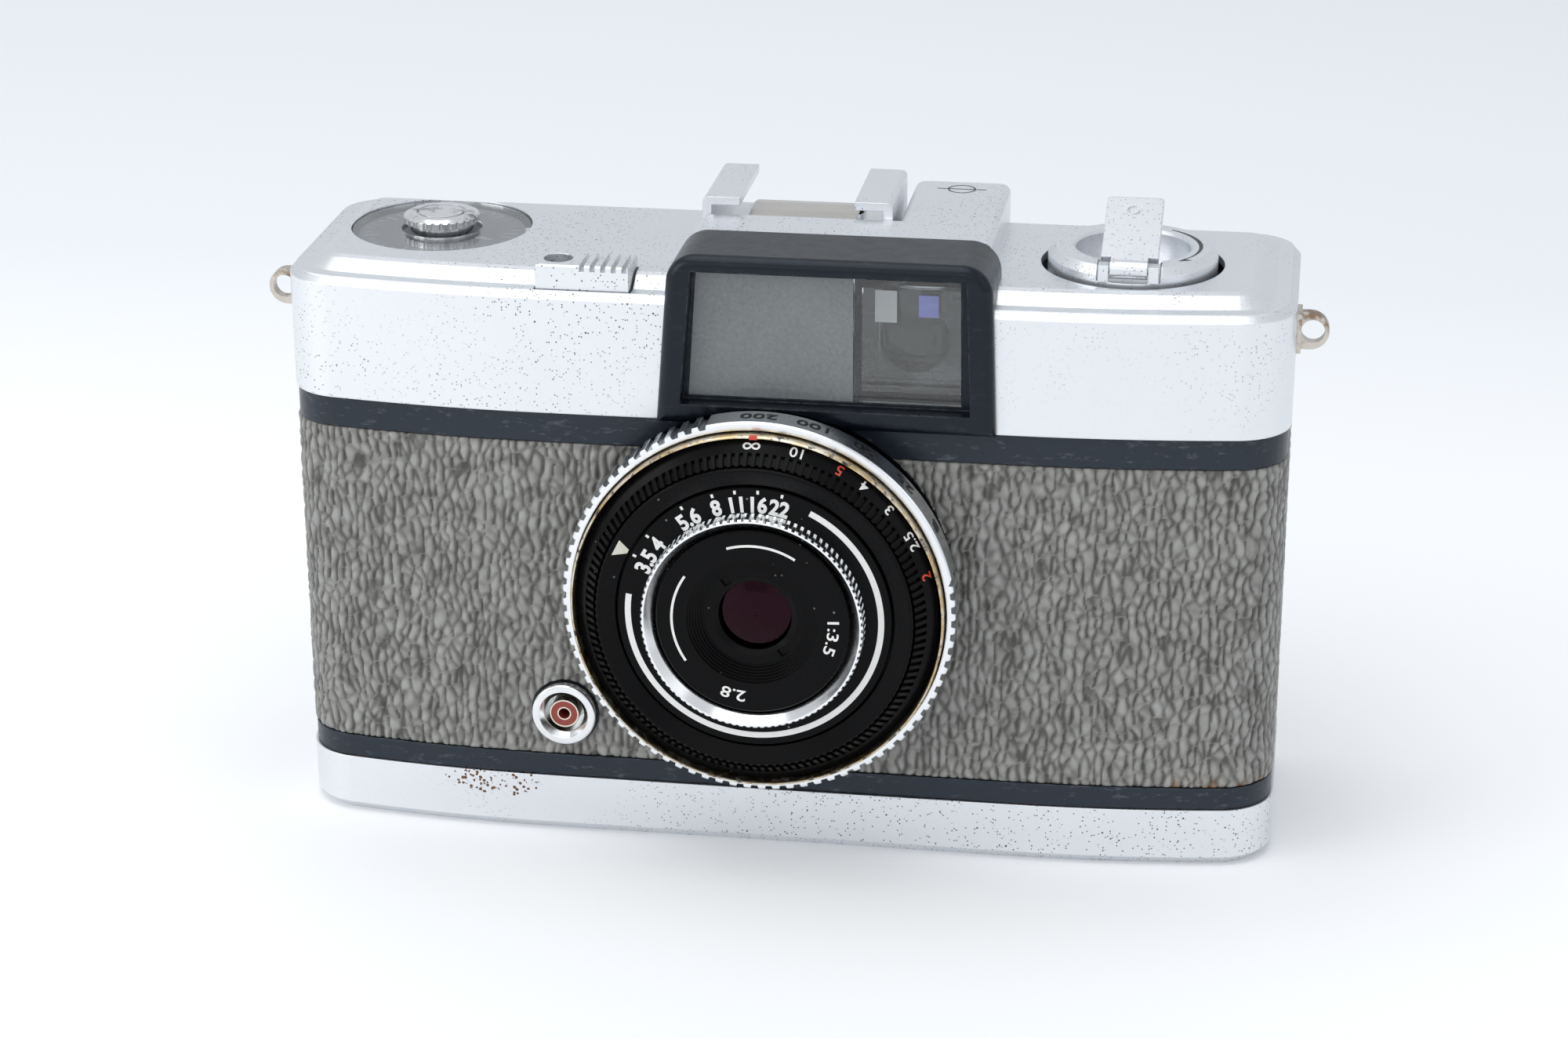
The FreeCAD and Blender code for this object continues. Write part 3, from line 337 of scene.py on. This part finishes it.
MATS = {
    "satin_silver": satin("satin_silver_skin"),
    "chrome_bright": metal("chrome_skin", (0.86, 0.87, 0.88), 0.13),
    "steel_sheet": metal("steel_sheet_skin", (0.66, 0.67, 0.68), 0.3, brush=(1, 12, 1)),
    "dark_paint": dark_paint("dark_band_paint"),
    "black_paint": black_satin("black_lens_paint"),
    "leatherette": leather_mat(),
    "window_glass": glass("clear_window_glass", (0.93, 0.95, 0.95)),
    "frosted_glass": frosted(),
    # the lens glass is tinted dark purple: painted shade of the lens's dark inside, with the coating's purple
    # reflection painted into the glass colour
    "lens_glass": glass("coated_lens_glass", (0.060, 0.026, 0.038), ior=1.6, spec_tint=(0.34, 0.14, 0.20), haze=0.008),
    "counter_glass": glass("counter_window_glass", (0.80, 0.82, 0.84), ior=1.49),
    "dial_grey": paint("counter_dial_grey", (0.23, 0.235, 0.24), 0.4),
    "cast_alloy": black_satin("black_cast_alloy", (0.020, 0.020, 0.022), 0.5),
    "mirror_glass": metal("finder_mirror_skin", (0.80, 0.80, 0.76), 0.06),
    "worn_brass": worn_brass(),
    "brass_part": metal("machined_brass", (0.74, 0.56, 0.28), 0.25),
    "socket_red": paint("red_fibre", (0.27, 0.045, 0.030), 0.5),
    "black_plastic": black_satin("moulded_black", (0.020, 0.020, 0.021), 0.42),
    "spring_steel": metal("spring_steel_skin", (0.60, 0.60, 0.60), 0.22, brush=(14, 1, 1)),
    "tarnished_steel": metal("tarnished_lug_steel", (0.62, 0.58, 0.52), 0.3, stain=(0.20, 0.11, 0.055)),
}
SPECIAL = {
    "base_cover": satin("base_cover_skin", rust=True),
    "aperture_grip_ring": metal("knurled_chrome", (0.90, 0.91, 0.92), 0.16),
    "viewfinder_bezel": dark_paint("bezel_paint", (0.0035, 0.0050, 0.0080), 0.28, wrinkle=0.3, scuffs=0.07, spec=0.32),
    "speed_ring": satin("speed_ring_skin", (0.84, 0.86, 0.88), 0.24, pits=False, metallic=1.0),
    "shoe_spring_plate": metal("shoe_plate_steel", (0.62, 0.60, 0.56), 0.24, brush=(1, 10, 1)),
    "pressure_plate": black_satin("pressure_plate_black", (0.02, 0.02, 0.022), 0.28),
    "counter_knob": metal("counter_knob_chrome", (0.80, 0.81, 0.82), 0.16, stain=(0.20, 0.19, 0.18)),
}
slots = {s["node"]: s["material_slot"] for s in frame["record"]["subparts"]}
for n, o in NODES.items():
    o.data.materials.clear()
    o.data.materials.append(SPECIAL.get(n) or MATS[slots[n]])
WHITE = paint("white_engraving", (0.80, 0.80, 0.78), 0.45)
CREAM = paint("cream_index", (0.70, 0.68, 0.58), 0.45)
RED = paint("red_engraving", (0.62, 0.06, 0.03), 0.4)
BLACKFILL = paint("black_engraving", (0.012, 0.012, 0.013), 0.4)


# ------------------------------------------------------------------------- builders
def mesh_obj(name, verts, faces, body, mat, smooth=True, unit=MM):
    me = bpy.data.meshes.new(name)
    me.from_pydata([tuple(float(c) * unit for c in v) for v in verts], [], faces)
    me.validate()
    bm = bmesh.new()
    bm.from_mesh(me)
    bmesh.ops.recalc_face_normals(bm, faces=bm.faces)
    bm.to_mesh(me)
    bm.free()
    o = bpy.data.objects.new(name, me)
    bpy.context.scene.collection.objects.link(o)
    me.materials.append(mat)
    for p in me.polygons:
        p.use_smooth = smooth
    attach(o, body)
    return o


def lens_pt(x, y, t):
    return (LX + x, FRONT_Y - t, LZ + y)


def sector(name, r0, r1, a0, a1, t0, t1, body, mat, n=None, at=lens_pt):
    """Closed flat sector of a ring about the lens axis (or about any axis through at)."""
    n = n or max(2, int(abs(a1 - a0) / 2))
    v, f = [], []
    for i in range(n + 1):
        a = math.radians(a0 + (a1 - a0) * i / n)
        c, s = math.cos(a), math.sin(a)
        for r, t in ((r0, t0), (r1, t0), (r1, t1), (r0, t1)):
            v.append(at(r * c, r * s, t))
    full = abs(a1 - a0) >= 359.9
    for i in range(n):
        p, q = 4 * i, 4 * (i + 1)
        for k in range(4):
            f.append((p + k, p + (k + 1) % 4, q + (k + 1) % 4, q + k))
    if not full:
        f.append((0, 1, 2, 3))
        f.append(tuple(4 * n + k for k in (3, 2, 1, 0)))
    o = mesh_obj(name, v, f, body, mat, smooth=False)
    if full:
        bm = bmesh.new()
        bm.from_mesh(o.data)
        bmesh.ops.remove_doubles(bm, verts=bm.verts, dist=1e-7)
        bmesh.ops.recalc_face_normals(bm, faces=bm.faces)
        bm.to_mesh(o.data)
        bm.free()
    return o


_text = {}


def text_mesh(s, size, thick=0.05, bold=0.0):
    """(vertices in mm centred on the string, faces) of an extruded string of dial figures."""
    key = (s, size, thick, bold)
    if key in _text:
        return _text[key]
    cu = bpy.data.curves.new("t", "FONT")
    cu.body = s
    cu.size = size
    cu.extrude = thick
    cu.offset = bold
    cu.resolution_u = 3
    cu.align_x, cu.align_y = "CENTER", "CENTER"
    o = bpy.data.objects.new("t", cu)
    bpy.context.scene.collection.objects.link(o)
    bpy.context.view_layer.update()
    me = bpy.data.meshes.new_from_object(o.evaluated_get(bpy.context.evaluated_depsgraph_get()))
    bm = bmesh.new()
    bm.from_mesh(me)
    bmesh.ops.remove_doubles(bm, verts=bm.verts, dist=1e-5)
    bmesh.ops.dissolve_degenerate(bm, edges=bm.edges, dist=1e-6)
    bmesh.ops.recalc_face_normals(bm, faces=bm.faces)
    v = [tuple(x.co) for x in bm.verts]
    f = [tuple(x.index for x in p.verts) for p in bm.faces]
    bm.free()
    bpy.data.meshes.remove(me)
    bpy.data.objects.remove(o)
    bpy.data.curves.remove(cu)
    ys = [p[1] for p in v]
    mid = (min(ys) + max(ys)) / 2
    v = [(x, y - mid, z) for x, y, z in v]
    _text[key] = (v, f)
    return _text[key]


def ring_text(name, s, size, deg, ref, up, nrm, turn, body, mat, wide=1.0, bold=0.0):
    """Figures wrapped round the lens axis. ref, up and nrm are (radius, height) pairs; turn is +1 if the
    text reads counter-clockwise."""
    v, f = text_mesh(s, size, 0.045, bold)
    out = []
    for x, y, w in v:
        r = ref[0] + up[0] * y + nrm[0] * w
        t = ref[1] + up[1] * y + nrm[1] * w
        a = math.radians(deg) + turn * x * wide / ref[0]
        out.append(lens_pt(r * math.cos(a), r * math.sin(a), t))
    return mesh_obj(name, out, f, body, mat, smooth=False)


# ---------------------------------------------------------------------- lens figures
for s, deg in (("3.5", 153.4), ("4", 142.6), ("5.6", 122.3), ("8", 107.8), ("11", 97.9), ("16", 88.0), ("22", 77.6)):
    ring_text("aperture_figure_" + s.replace(".", "_"), s, 2.35, deg, (12.78, 8.9), (1, 0), (0, 1), -1, "aperture_ring", WHITE, 0.90, 0.085)
    sector("aperture_tick_" + s.replace(".", "_"), 13.95, 14.35, deg - 0.55, deg + 0.55, 8.86, 8.93, "aperture_ring", WHITE)
sector("aperture_arc", 13.16, 13.80, -188.4, 63.9, 8.86, 8.93, "aperture_ring", WHITE, 150)
CU = (-0.758, 0.652)
CN = (0.652, 0.758)
for s, deg, m in (("∞", 91.0, WHITE), ("10", 76.1, WHITE), ("5", 61.8, RED), ("4", 52.5, WHITE), ("3", 41.6, WHITE), ("2.5", 29.0, WHITE), ("2", 16.3, RED)):
    nm = "inf" if s == "∞" else s.replace(".", "_")
    ring_text("focus_figure_" + nm, s, 1.55 if s != "∞" else 1.9, deg, (18.78, 7.66), CU, CN, 1, "focus_ring", m, 1.15, 0.015)
for s, deg in (("200", 90.0), ("100", 73.7), ("50", 58.4), ("25", 43.1), ("B", 27.8)):
    ring_text("speed_figure_" + s, s, 2.0, deg, (21.04, 4.75), (0, 1), (1, 0), 1, "speed_ring", BLACKFILL, 1.35, 0.03)
# cream index on the dish and the red mark on the edge ring
a0 = 153.4
tri = [(14.95, -0.9), (16.35, -3.4), (16.35, 3.4), (14.95, 0.9)]
vv = []
for w in (-0.05, 0.03):
    for r, da in tri:
        a = math.radians(a0 + da)
        t = 8.72 + (r - 14.88) * (9.4 - 8.72) / (16.5 - 14.88) + w
        vv.append(lens_pt(r * math.cos(a), r * math.sin(a), t))
mesh_obj("aperture_index", vv, [(0, 1, 2, 3), (4, 5, 6, 7), (0, 1, 5, 4), (1, 2, 6, 5), (2, 3, 7, 6), (3, 0, 4, 7)], "lens_head", CREAM, smooth=False)
sector("speed_index_mark", 19.55, 19.94, 89.2, 91.6, 7.5, 7.93, "camera_body", RED, 4)
for i, (t, deg) in enumerate((("1:3.5", -8), ("2.8", 256))):
    ring_text("name_figure_%d" % i, t, 1.75, deg, (8.6, 10.1), (1, 0), (0, 1), -1, "lens_head", WHITE, 1.3, 0.02)
sector("name_line_top", 8.45, 8.72, 58, 108, 10.05, 10.13, "lens_head", WHITE, 30)
sector("name_line_left", 8.45, 8.72, 146, 214, 10.05, 10.13, "lens_head", WHITE, 40)


# --------------------------------------------------------------------- leatherette
def outline_pts(d, step):
    """Closed outline of the body offset inwards by d: (x, y, nx, ny, s) from the front middle to the right, back to the front."""
    r1, r2, r3 = R_BOW - d, R_FRONT - d, R_REAR - d
    c1y = FRONT_Y + R_BOW
    c2x, c2y = HALF_W - R_FRONT, c1y - (R_BOW - R_FRONT) * math.cos(TH)
    c3x, c3y = HALF_W - R_REAR, REAR_Y - R_REAR
    segs = [("l", (0, FRONT_Y), (FLAT_X, FRONT_Y), (0, -1)), ("a", (FLAT_X, c1y), R_BOW, 0, TH), ("a", (c2x, c2y), R_FRONT, TH, math.pi / 2),
            ("l", (HALF_W, c2y), (HALF_W, c3y), (1, 0)), ("a", (c3x, c3y), R_REAR, math.pi / 2, math.pi), ("l", (c3x, REAR_Y), (0, REAR_Y), (0, 1))]
    out, s = [], 0.0
    for g in segs:
        if g[0] == "l":
            L = math.dist(g[1], g[2])
            n = max(1, round(L / step))
            for i in range(n):
                u = i / n
                out.append((g[1][0] + (g[2][0] - g[1][0]) * u - g[3][0] * d, g[1][1] + (g[2][1] - g[1][1]) * u - g[3][1] * d, g[3][0], g[3][1], s + L * u))
        else:
            L = g[2] * (g[4] - g[3])
            n = max(2, round(L / step))
            for i in range(n):
                a = g[3] + (g[4] - g[3]) * i / n
                nx, ny = math.sin(a), -math.cos(a)
                out.append((g[1][0] + (g[2] - d) * nx, g[1][1] + (g[2] - d) * ny, nx, ny, s + L * i / n))
        s += L
    out.append((0, REAR_Y - d, 0, 1, s))
    return out


def hash2(i, j, k):
    h = np.sin(i * 127.1 + j * 311.7 + k * 74.7) * 43758.5453
    return h - np.floor(h)


def value_noise(x, y, k):
    xi, yi = np.floor(x), np.floor(y)
    fx, fy = x - xi, y - yi
    fx, fy = fx * fx * (3 - 2 * fx), fy * fy * (3 - 2 * fy)
    a, b = hash2(xi, yi, k), hash2(xi + 1, yi, k)
    c, d = hash2(xi, yi + 1, k), hash2(xi + 1, yi + 1, k)
    return (a * (1 - fx) + b * fx) * (1 - fy) + (c * (1 - fx) + d * fx) * fy


def grain(s, z):
    """Height 0..1 of the pebbled, vertically stringy grain at distance s along the skin and height z, in mm."""
    sx = s + 0.75 * (value_noise(s / 2.8, z / 3.6, 1) - 0.5) + 0.26 * (value_noise(s / 0.9, z / 1.1, 2) - 0.5)
    zz = z + 1.3 * (value_noise(s / 2.1, z / 2.6, 3) - 0.5)
    cx, cz = 0.95, 1.72
    ci, cj = np.floor(sx / cx), np.floor(zz / cz)
    d1 = np.full(s.shape, 1e9)
    d2 = np.full(s.shape, 1e9)
    p1x, p1z = np.zeros(s.shape), np.zeros(s.shape)
    p2x, p2z = np.zeros(s.shape), np.zeros(s.shape)
    for di in (-2, -1, 0, 1, 2):
        for dj in (-2, -1, 0, 1, 2):
            i, j = ci + di, cj + dj
            px = (i + 0.5 + 0.85 * (hash2(i, j, 5) - 0.5)) * cx
            pz = (j + 0.5 + 0.5 * (i % 2) + 0.85 * (hash2(i, j, 9) - 0.5)) * cz
            d = np.hypot(sx - px, (zz - pz) * 0.60)
            near = d < d1
            d2n = np.where(near, d1, np.minimum(d2, d))
            upd2 = (~near) & (d < d2)
            p2x = np.where(near, p1x, np.where(upd2, px, p2x))
            p2z = np.where(near, p1z, np.where(upd2, pz, p2z))
            p1x, p1z = np.where(near, px, p1x), np.where(near, pz, p1z)
            d1 = np.where(near, d, d1)
            d2 = d2n
    ex, ez = p2x - p1x, (p2z - p1z) * 0.60
    nx = np.abs(ex) / (np.hypot(ex, ez) + 1e-6)
    edge = np.clip((d2 - d1 + 0.04) / 0.86, 0, 1)
    edge = edge * edge * (3 - 2 * edge)
    edge = 1 - (1 - edge) ** 1.5
    depth = 0.34 + 0.66 * nx ** 1.6
    h = 1 - depth * (1 - edge)
    h = 0.74 * h + 0.34 * value_noise(s / 0.66, z / 1.15, 11) + 0.05 * value_noise(s / 2.4, z / 4.0, 17)
    h = h - 0.12 * value_noise(s / 0.38, z / 0.5, 13) - 0.005
    return np.clip(h, 0, 1)


def leather(name, node, body, pts, holes=(), step=0.2, amp=0.42):
    z = np.linspace(Z_LEATH0 + 0.03, Z_LEATH1 - 0.03, int((Z_LEATH1 - Z_LEATH0) / step) + 1)
    P = np.array(pts)
    X0, Y0, NX, NY, S = [P[:, i][:, None] + 0 * z[None, :] for i in range(5)]
    Zg = 0 * X0 + z[None, :]
    h = grain(S, Zg)
    # the skin's edge is rolled down a little all round
    n, m = X0.shape
    rim = np.minimum(np.minimum(Zg - z[0], z[-1] - Zg), np.minimum((S - S.min()), (S.max() - S)))
    roll = np.clip(rim / 0.55, 0, 1)
    roll = np.sqrt(1 - (1 - roll) ** 2)
    off = -0.40 + amp * h
    off = (off + 0.6) * (0.45 + 0.55 * roll) - 0.6
    ox, oy = X0 + NX * off, Y0 + NY * off
    ix, iy = X0 - NX * 0.58, Y0 - NY * 0.58
    Xo, Zo = ox.copy(), Zg.copy()
    Xi, Zi = ix.copy(), Zg.copy()
    keep_face = np.ones((n - 1, m - 1), bool)
    for hx, hz, hr in holes:
        dist = np.hypot(X0 - hx, Zg - hz)
        front = Y0 < -10
        inside = (dist < hr) & front
        a = inside[:-1, :-1] & inside[1:, :-1] & inside[:-1, 1:] & inside[1:, 1:]
        keep_face &= ~a
        # vertices just inside move out onto the hole's edge
        edge = inside.copy()
        k = np.where(edge, hr / np.maximum(dist, 1e-6), 1.0)
        near = edge & (dist > hr - 3 * step)
        for A in (Xo, Xi):
            A[near] = hx + (X0[near] - hx) * k[near]
        for A in (Zo, Zi):
            A[near] = hz + (Zg[near] - hz) * k[near]
    used = np.zeros((n, m), bool)
    used[:-1, :-1] |= keep_face
    used[1:, :-1] |= keep_face
    used[:-1, 1:] |= keep_face
    used[1:, 1:] |= keep_face
    idx = -np.ones((n, m), int)
    idx[used] = np.arange(used.sum())
    N = int(used.sum())
    outer = np.stack([Xo[used], oy[used], Zo[used]], 1)
    inner = np.stack([Xi[used], iy[used], Zi[used]], 1)
    I, J = np.nonzero(keep_face)
    q = np.stack([idx[I, J], idx[I + 1, J], idx[I + 1, J + 1], idx[I, J + 1]], 1)
    faces = [tuple(r) for r in q.tolist()] + [tuple(r[::-1]) for r in (q + N).tolist()]
    cnt = {}
    for r in q.tolist():
        for a, b in zip(r, r[1:] + r[:1]):
            cnt[(a, b)] = 1
    for (a, b) in list(cnt):
        if (b, a) not in cnt:
            faces.append((b, a, a + N, b + N))
    verts = np.concatenate([outer, inner]) * MM
    me = bpy.data.meshes.new(name)
    me.from_pydata(verts.tolist(), [], faces)
    # the grain attribute drives the colour ramp; scaled down near the rolled rim it paints shade along the skin's edge,
    # besides the painted valley shade and tops highlight
    at = me.attributes.new("grain", "FLOAT", "POINT")
    at.data.foreach_set("value", np.concatenate([h[used] * (0.35 + 0.65 * roll[used]), np.zeros(N)]).astype(np.float32))
    me.materials.append(MATS["leatherette"])
    o = bpy.data.objects.new(name, me)
    bpy.context.scene.collection.objects.link(o)
    me.polygons.foreach_set("use_smooth", [True] * len(me.polygons))
    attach(o, body)
    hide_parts(node)
    return o


STEP = 0.2
half = outline_pts(0.05, STEP)
full = [(-x, y, -nx, ny, -s) for x, y, nx, ny, s in half[::-1]][:-1] + half
front = [p for p in full if p[1] <= SEAM_Y - 0.02 and abs(p[4]) < 80]
leather("front_leatherette", "front_covering", "camera_body", front, [(LX, LZ, 20.3), (SOCKET[0], SOCKET[1], 3.78)], STEP)
total = half[-1][4]
rear = [p for p in half if p[1] >= SEAM_Y + 0.64 and p[4] > 40]
rear = rear + [(-x, y, -nx, ny, 2 * total - s) for x, y, nx, ny, s in rear[::-1]][1:]
leather("rear_leatherette", "back_covering", "back_unit", rear, [], STEP)


# ------------------------------------------------------------------ marks on the top
def counter_pt(x, y, t):
    return (COUNTER[0] + x, COUNTER[1] + y, t)


def knob_pt(x, y, t):
    return (CASS[0] + x, CASS[1] + y, t)


TICK = paint("counter_tick_white", (0.66, 0.66, 0.66), 0.5)
for k in range(36):
    a = k * 10.0
    long = k % 5 == 0
    sector("counter_tick_%02d" % k, 6.9 if long else 7.6, 8.55, a - (1.0 if long else 0.6), a + (1.0 if long else 0.6), 62.86, 62.93, "counter", TICK, 2, at=counter_pt)
vv = [counter_pt(r * math.cos(math.radians(a)), r * math.sin(math.radians(a)), t) for t in (62.86, 62.94) for r, a in ((4.7, -14), (7.1, -22), (4.7, -30))]
mesh_obj("counter_pointer", vv, [(0, 1, 2), (3, 4, 5), (0, 1, 4, 3), (1, 2, 5, 4), (2, 0, 3, 5)], "counter", TICK, smooth=False)


def hump_pt(x, y, t):
    return (16.7 + x, 12.0 + y, t)


sector("film_plane_circle", 1.36, 1.56, 0, 360, Z_HUMP - 0.04, Z_HUMP + 0.012, "camera_body", BLACKFILL, 40, at=hump_pt)
vv = [hump_pt(x, y, t) for t in (Z_HUMP - 0.04, Z_HUMP + 0.014) for x, y in ((-2.7, -0.1), (2.7, -0.1), (2.7, 0.1), (-2.7, 0.1))]
mesh_obj("film_plane_line", vv, [(0, 1, 2, 3), (4, 5, 6, 7), (0, 1, 5, 4), (1, 2, 6, 5), (2, 3, 7, 6), (3, 0, 4, 7)], "camera_body", BLACKFILL, smooth=False)
# rewind arrow: a tapered arc with a barbed end, on the knob's rim
v, f = [], []
n = 26
for i in range(n + 1):
    u = i / n
    a = math.radians(58 - 96 * u)
    w = 0.07 + 0.17 * math.sin(math.pi * min(1, u * 1.1)) * (1 - 0.2 * u)
    for r, t in ((7.15 - w, 66.02), (7.15 + w, 66.02), (7.15 + w, 66.075), (7.15 - w, 66.075)):
        v.append(knob_pt(r * math.cos(a), r * math.sin(a), t))
for i in range(n):
    p, q = 4 * i, 4 * i + 4
    for k in range(4):
        f.append((p + k, p + (k + 1) % 4, q + (k + 1) % 4, q + k))
f += [(0, 1, 2, 3), tuple(4 * n + k for k in (3, 2, 1, 0))]
mesh_obj("rewind_arrow", v, f, "rewind_knob", BLACKFILL, smooth=False)
vv = [knob_pt(r * math.cos(math.radians(a)), r * math.sin(math.radians(a)), t) for t in (66.02, 66.078) for r, a in ((7.2, -46), (7.95, -36), (7.2, -38), (7.0, -35.5))]
mesh_obj("rewind_arrow_head", vv, [(0, 1, 2, 3), (7, 6, 5, 4), (0, 1, 5, 4), (1, 2, 6, 5), (2, 3, 7, 6), (3, 0, 4, 7)], "rewind_knob", BLACKFILL, smooth=False)


# two small painted reflections behind the clear window: flat violet and pale patches that stand for light the finder's
# prism facets reflect
PAINTED_REFLECTION_VIOLET = paint("painted_reflection_violet", (0.36, 0.40, 1.0), 0.25)
PAINTED_REFLECTION_PALE = paint("painted_reflection_pale", (0.80, 0.84, 0.84), 0.3)
for nm, x0, x1, z0, z1, mt in (("finder_painted_reflection_violet", 14.9, 17.0, 60.9, 63.3, PAINTED_REFLECTION_VIOLET), ("finder_painted_reflection_pale", 10.3, 12.6, 60.2, 63.7, PAINTED_REFLECTION_PALE)):
    vv = [(x, y, z) for y in (-12.55, -12.38) for x, z in ((x0, z0), (x1, z0), (x1, z1), (x0, z1))]
    mesh_obj(nm, vv, [(0, 1, 2, 3), (7, 6, 5, 4), (0, 1, 5, 4), (1, 2, 6, 5), (2, 3, 7, 6), (3, 0, 4, 7)], "camera_body", mt, smooth=False)


# ------------------------------------------------------------------------ sync socket
def sock_pt(x, y, t):
    return (SOCKET[0] + x, -t, SOCKET[1] + y)


SLEEVE = metal("socket_sleeve", (0.80, 0.72, 0.60), 0.25)
sector("sync_sleeve", 1.46, 1.62, 0, 360, 13.0, 16.55, "camera_body", SLEEVE, 40, at=sock_pt)
sector("sync_pin_sleeve", 0.63, 0.78, 0, 360, 15.9, 16.53, "camera_body", SLEEVE, 32, at=sock_pt)

# --------------------------------------------------------------------- camera, stage
cam_d = bpy.data.cameras.new("camera")
cam = bpy.data.objects.new("camera", cam_d)
bpy.context.scene.collection.objects.link(cam)
cam_d.sensor_width = 36.0
cam_d.lens = 81.687
loc = Vector((54.90, -364.55, 177.12)) * MM
tgt = Vector((1.064, -16.0, 38.72)) * MM
q = (tgt - loc).to_track_quat("-Z", "Y")
cam.rotation_mode = "QUATERNION"
cam.location = loc
cam.rotation_quaternion = q @ Matrix.Rotation(math.radians(-0.208), 4, "Z").to_quaternion()
cam_d.clip_start, cam_d.clip_end = 0.01, 20
bpy.context.scene.camera = cam

# a wide pale floor, a shade cooler behind the object
vv = [(0, 0, 0)] + [(3.0 * math.cos(math.radians(5 * k)), 3.0 * math.sin(math.radians(5 * k)), 0) for k in range(72)]
me = bpy.data.meshes.new("floor")
me.from_pydata(vv, [], [(0, k + 1, (k + 1) % 72 + 1) for k in range(72)])
floor = bpy.data.objects.new("floor", me)
bpy.context.scene.collection.objects.link(floor)
FM = Mat("pale_floor", (0.9, 0.9, 0.9), 0.0, 0.6)
sep = FM.n.new("ShaderNodeSeparateXYZ")
FM.l.new(FM.tc.outputs["Object"], sep.inputs[0])
FM.color(FM.ramp(FM.math("MULTIPLY", FM.math("SUBTRACT", sep.outputs[1], 0.095), 1 / 0.10), [(0.0, (0.94, 0.943, 0.95)), (1.0, (0.83, 0.85, 0.875))]))
FM.bump(FM.noise(900, 2, 0.5), 0.02, 0.0001)
me.materials.append(FM.m)


def area(name, loc, target, size, power, color=(1, 1, 1)):
    d = bpy.data.lights.new(name, "AREA")
    d.shape = "RECTANGLE"
    d.size, d.size_y = size
    d.energy = power
    d.color = color
    o = bpy.data.objects.new(name, d)
    bpy.context.scene.collection.objects.link(o)
    o.location = loc
    o.rotation_euler = (Vector(target) - Vector(loc)).to_track_quat("-Z", "Y").to_euler()
    return o


area("top_soft", (-0.12, -0.10, 0.80), (0, -0.02, 0.03), (0.8, 0.6), 2.6, (0.98, 0.99, 1.0))
area("left_soft", (-0.80, -0.50, 0.45), (0, 0, 0.03), (0.6, 0.6), 2.6)
area("right_soft", (0.80, -0.40, 0.45), (0, 0, 0.03), (0.5, 0.6), 0.5)
area("front_fill", (-0.10, -0.95, 0.50), (0, -0.15, 0.0), (0.9, 0.4), 0.9)
w = bpy.data.worlds.new("studio")
bpy.context.scene.world = w
w.use_nodes = True
w.node_tree.nodes["Background"].inputs[0].default_value = (0.93, 0.96, 1.0, 1)
w.node_tree.nodes["Background"].inputs[1].default_value = 0.73
bpy.context.scene.view_settings.view_transform = "Standard"
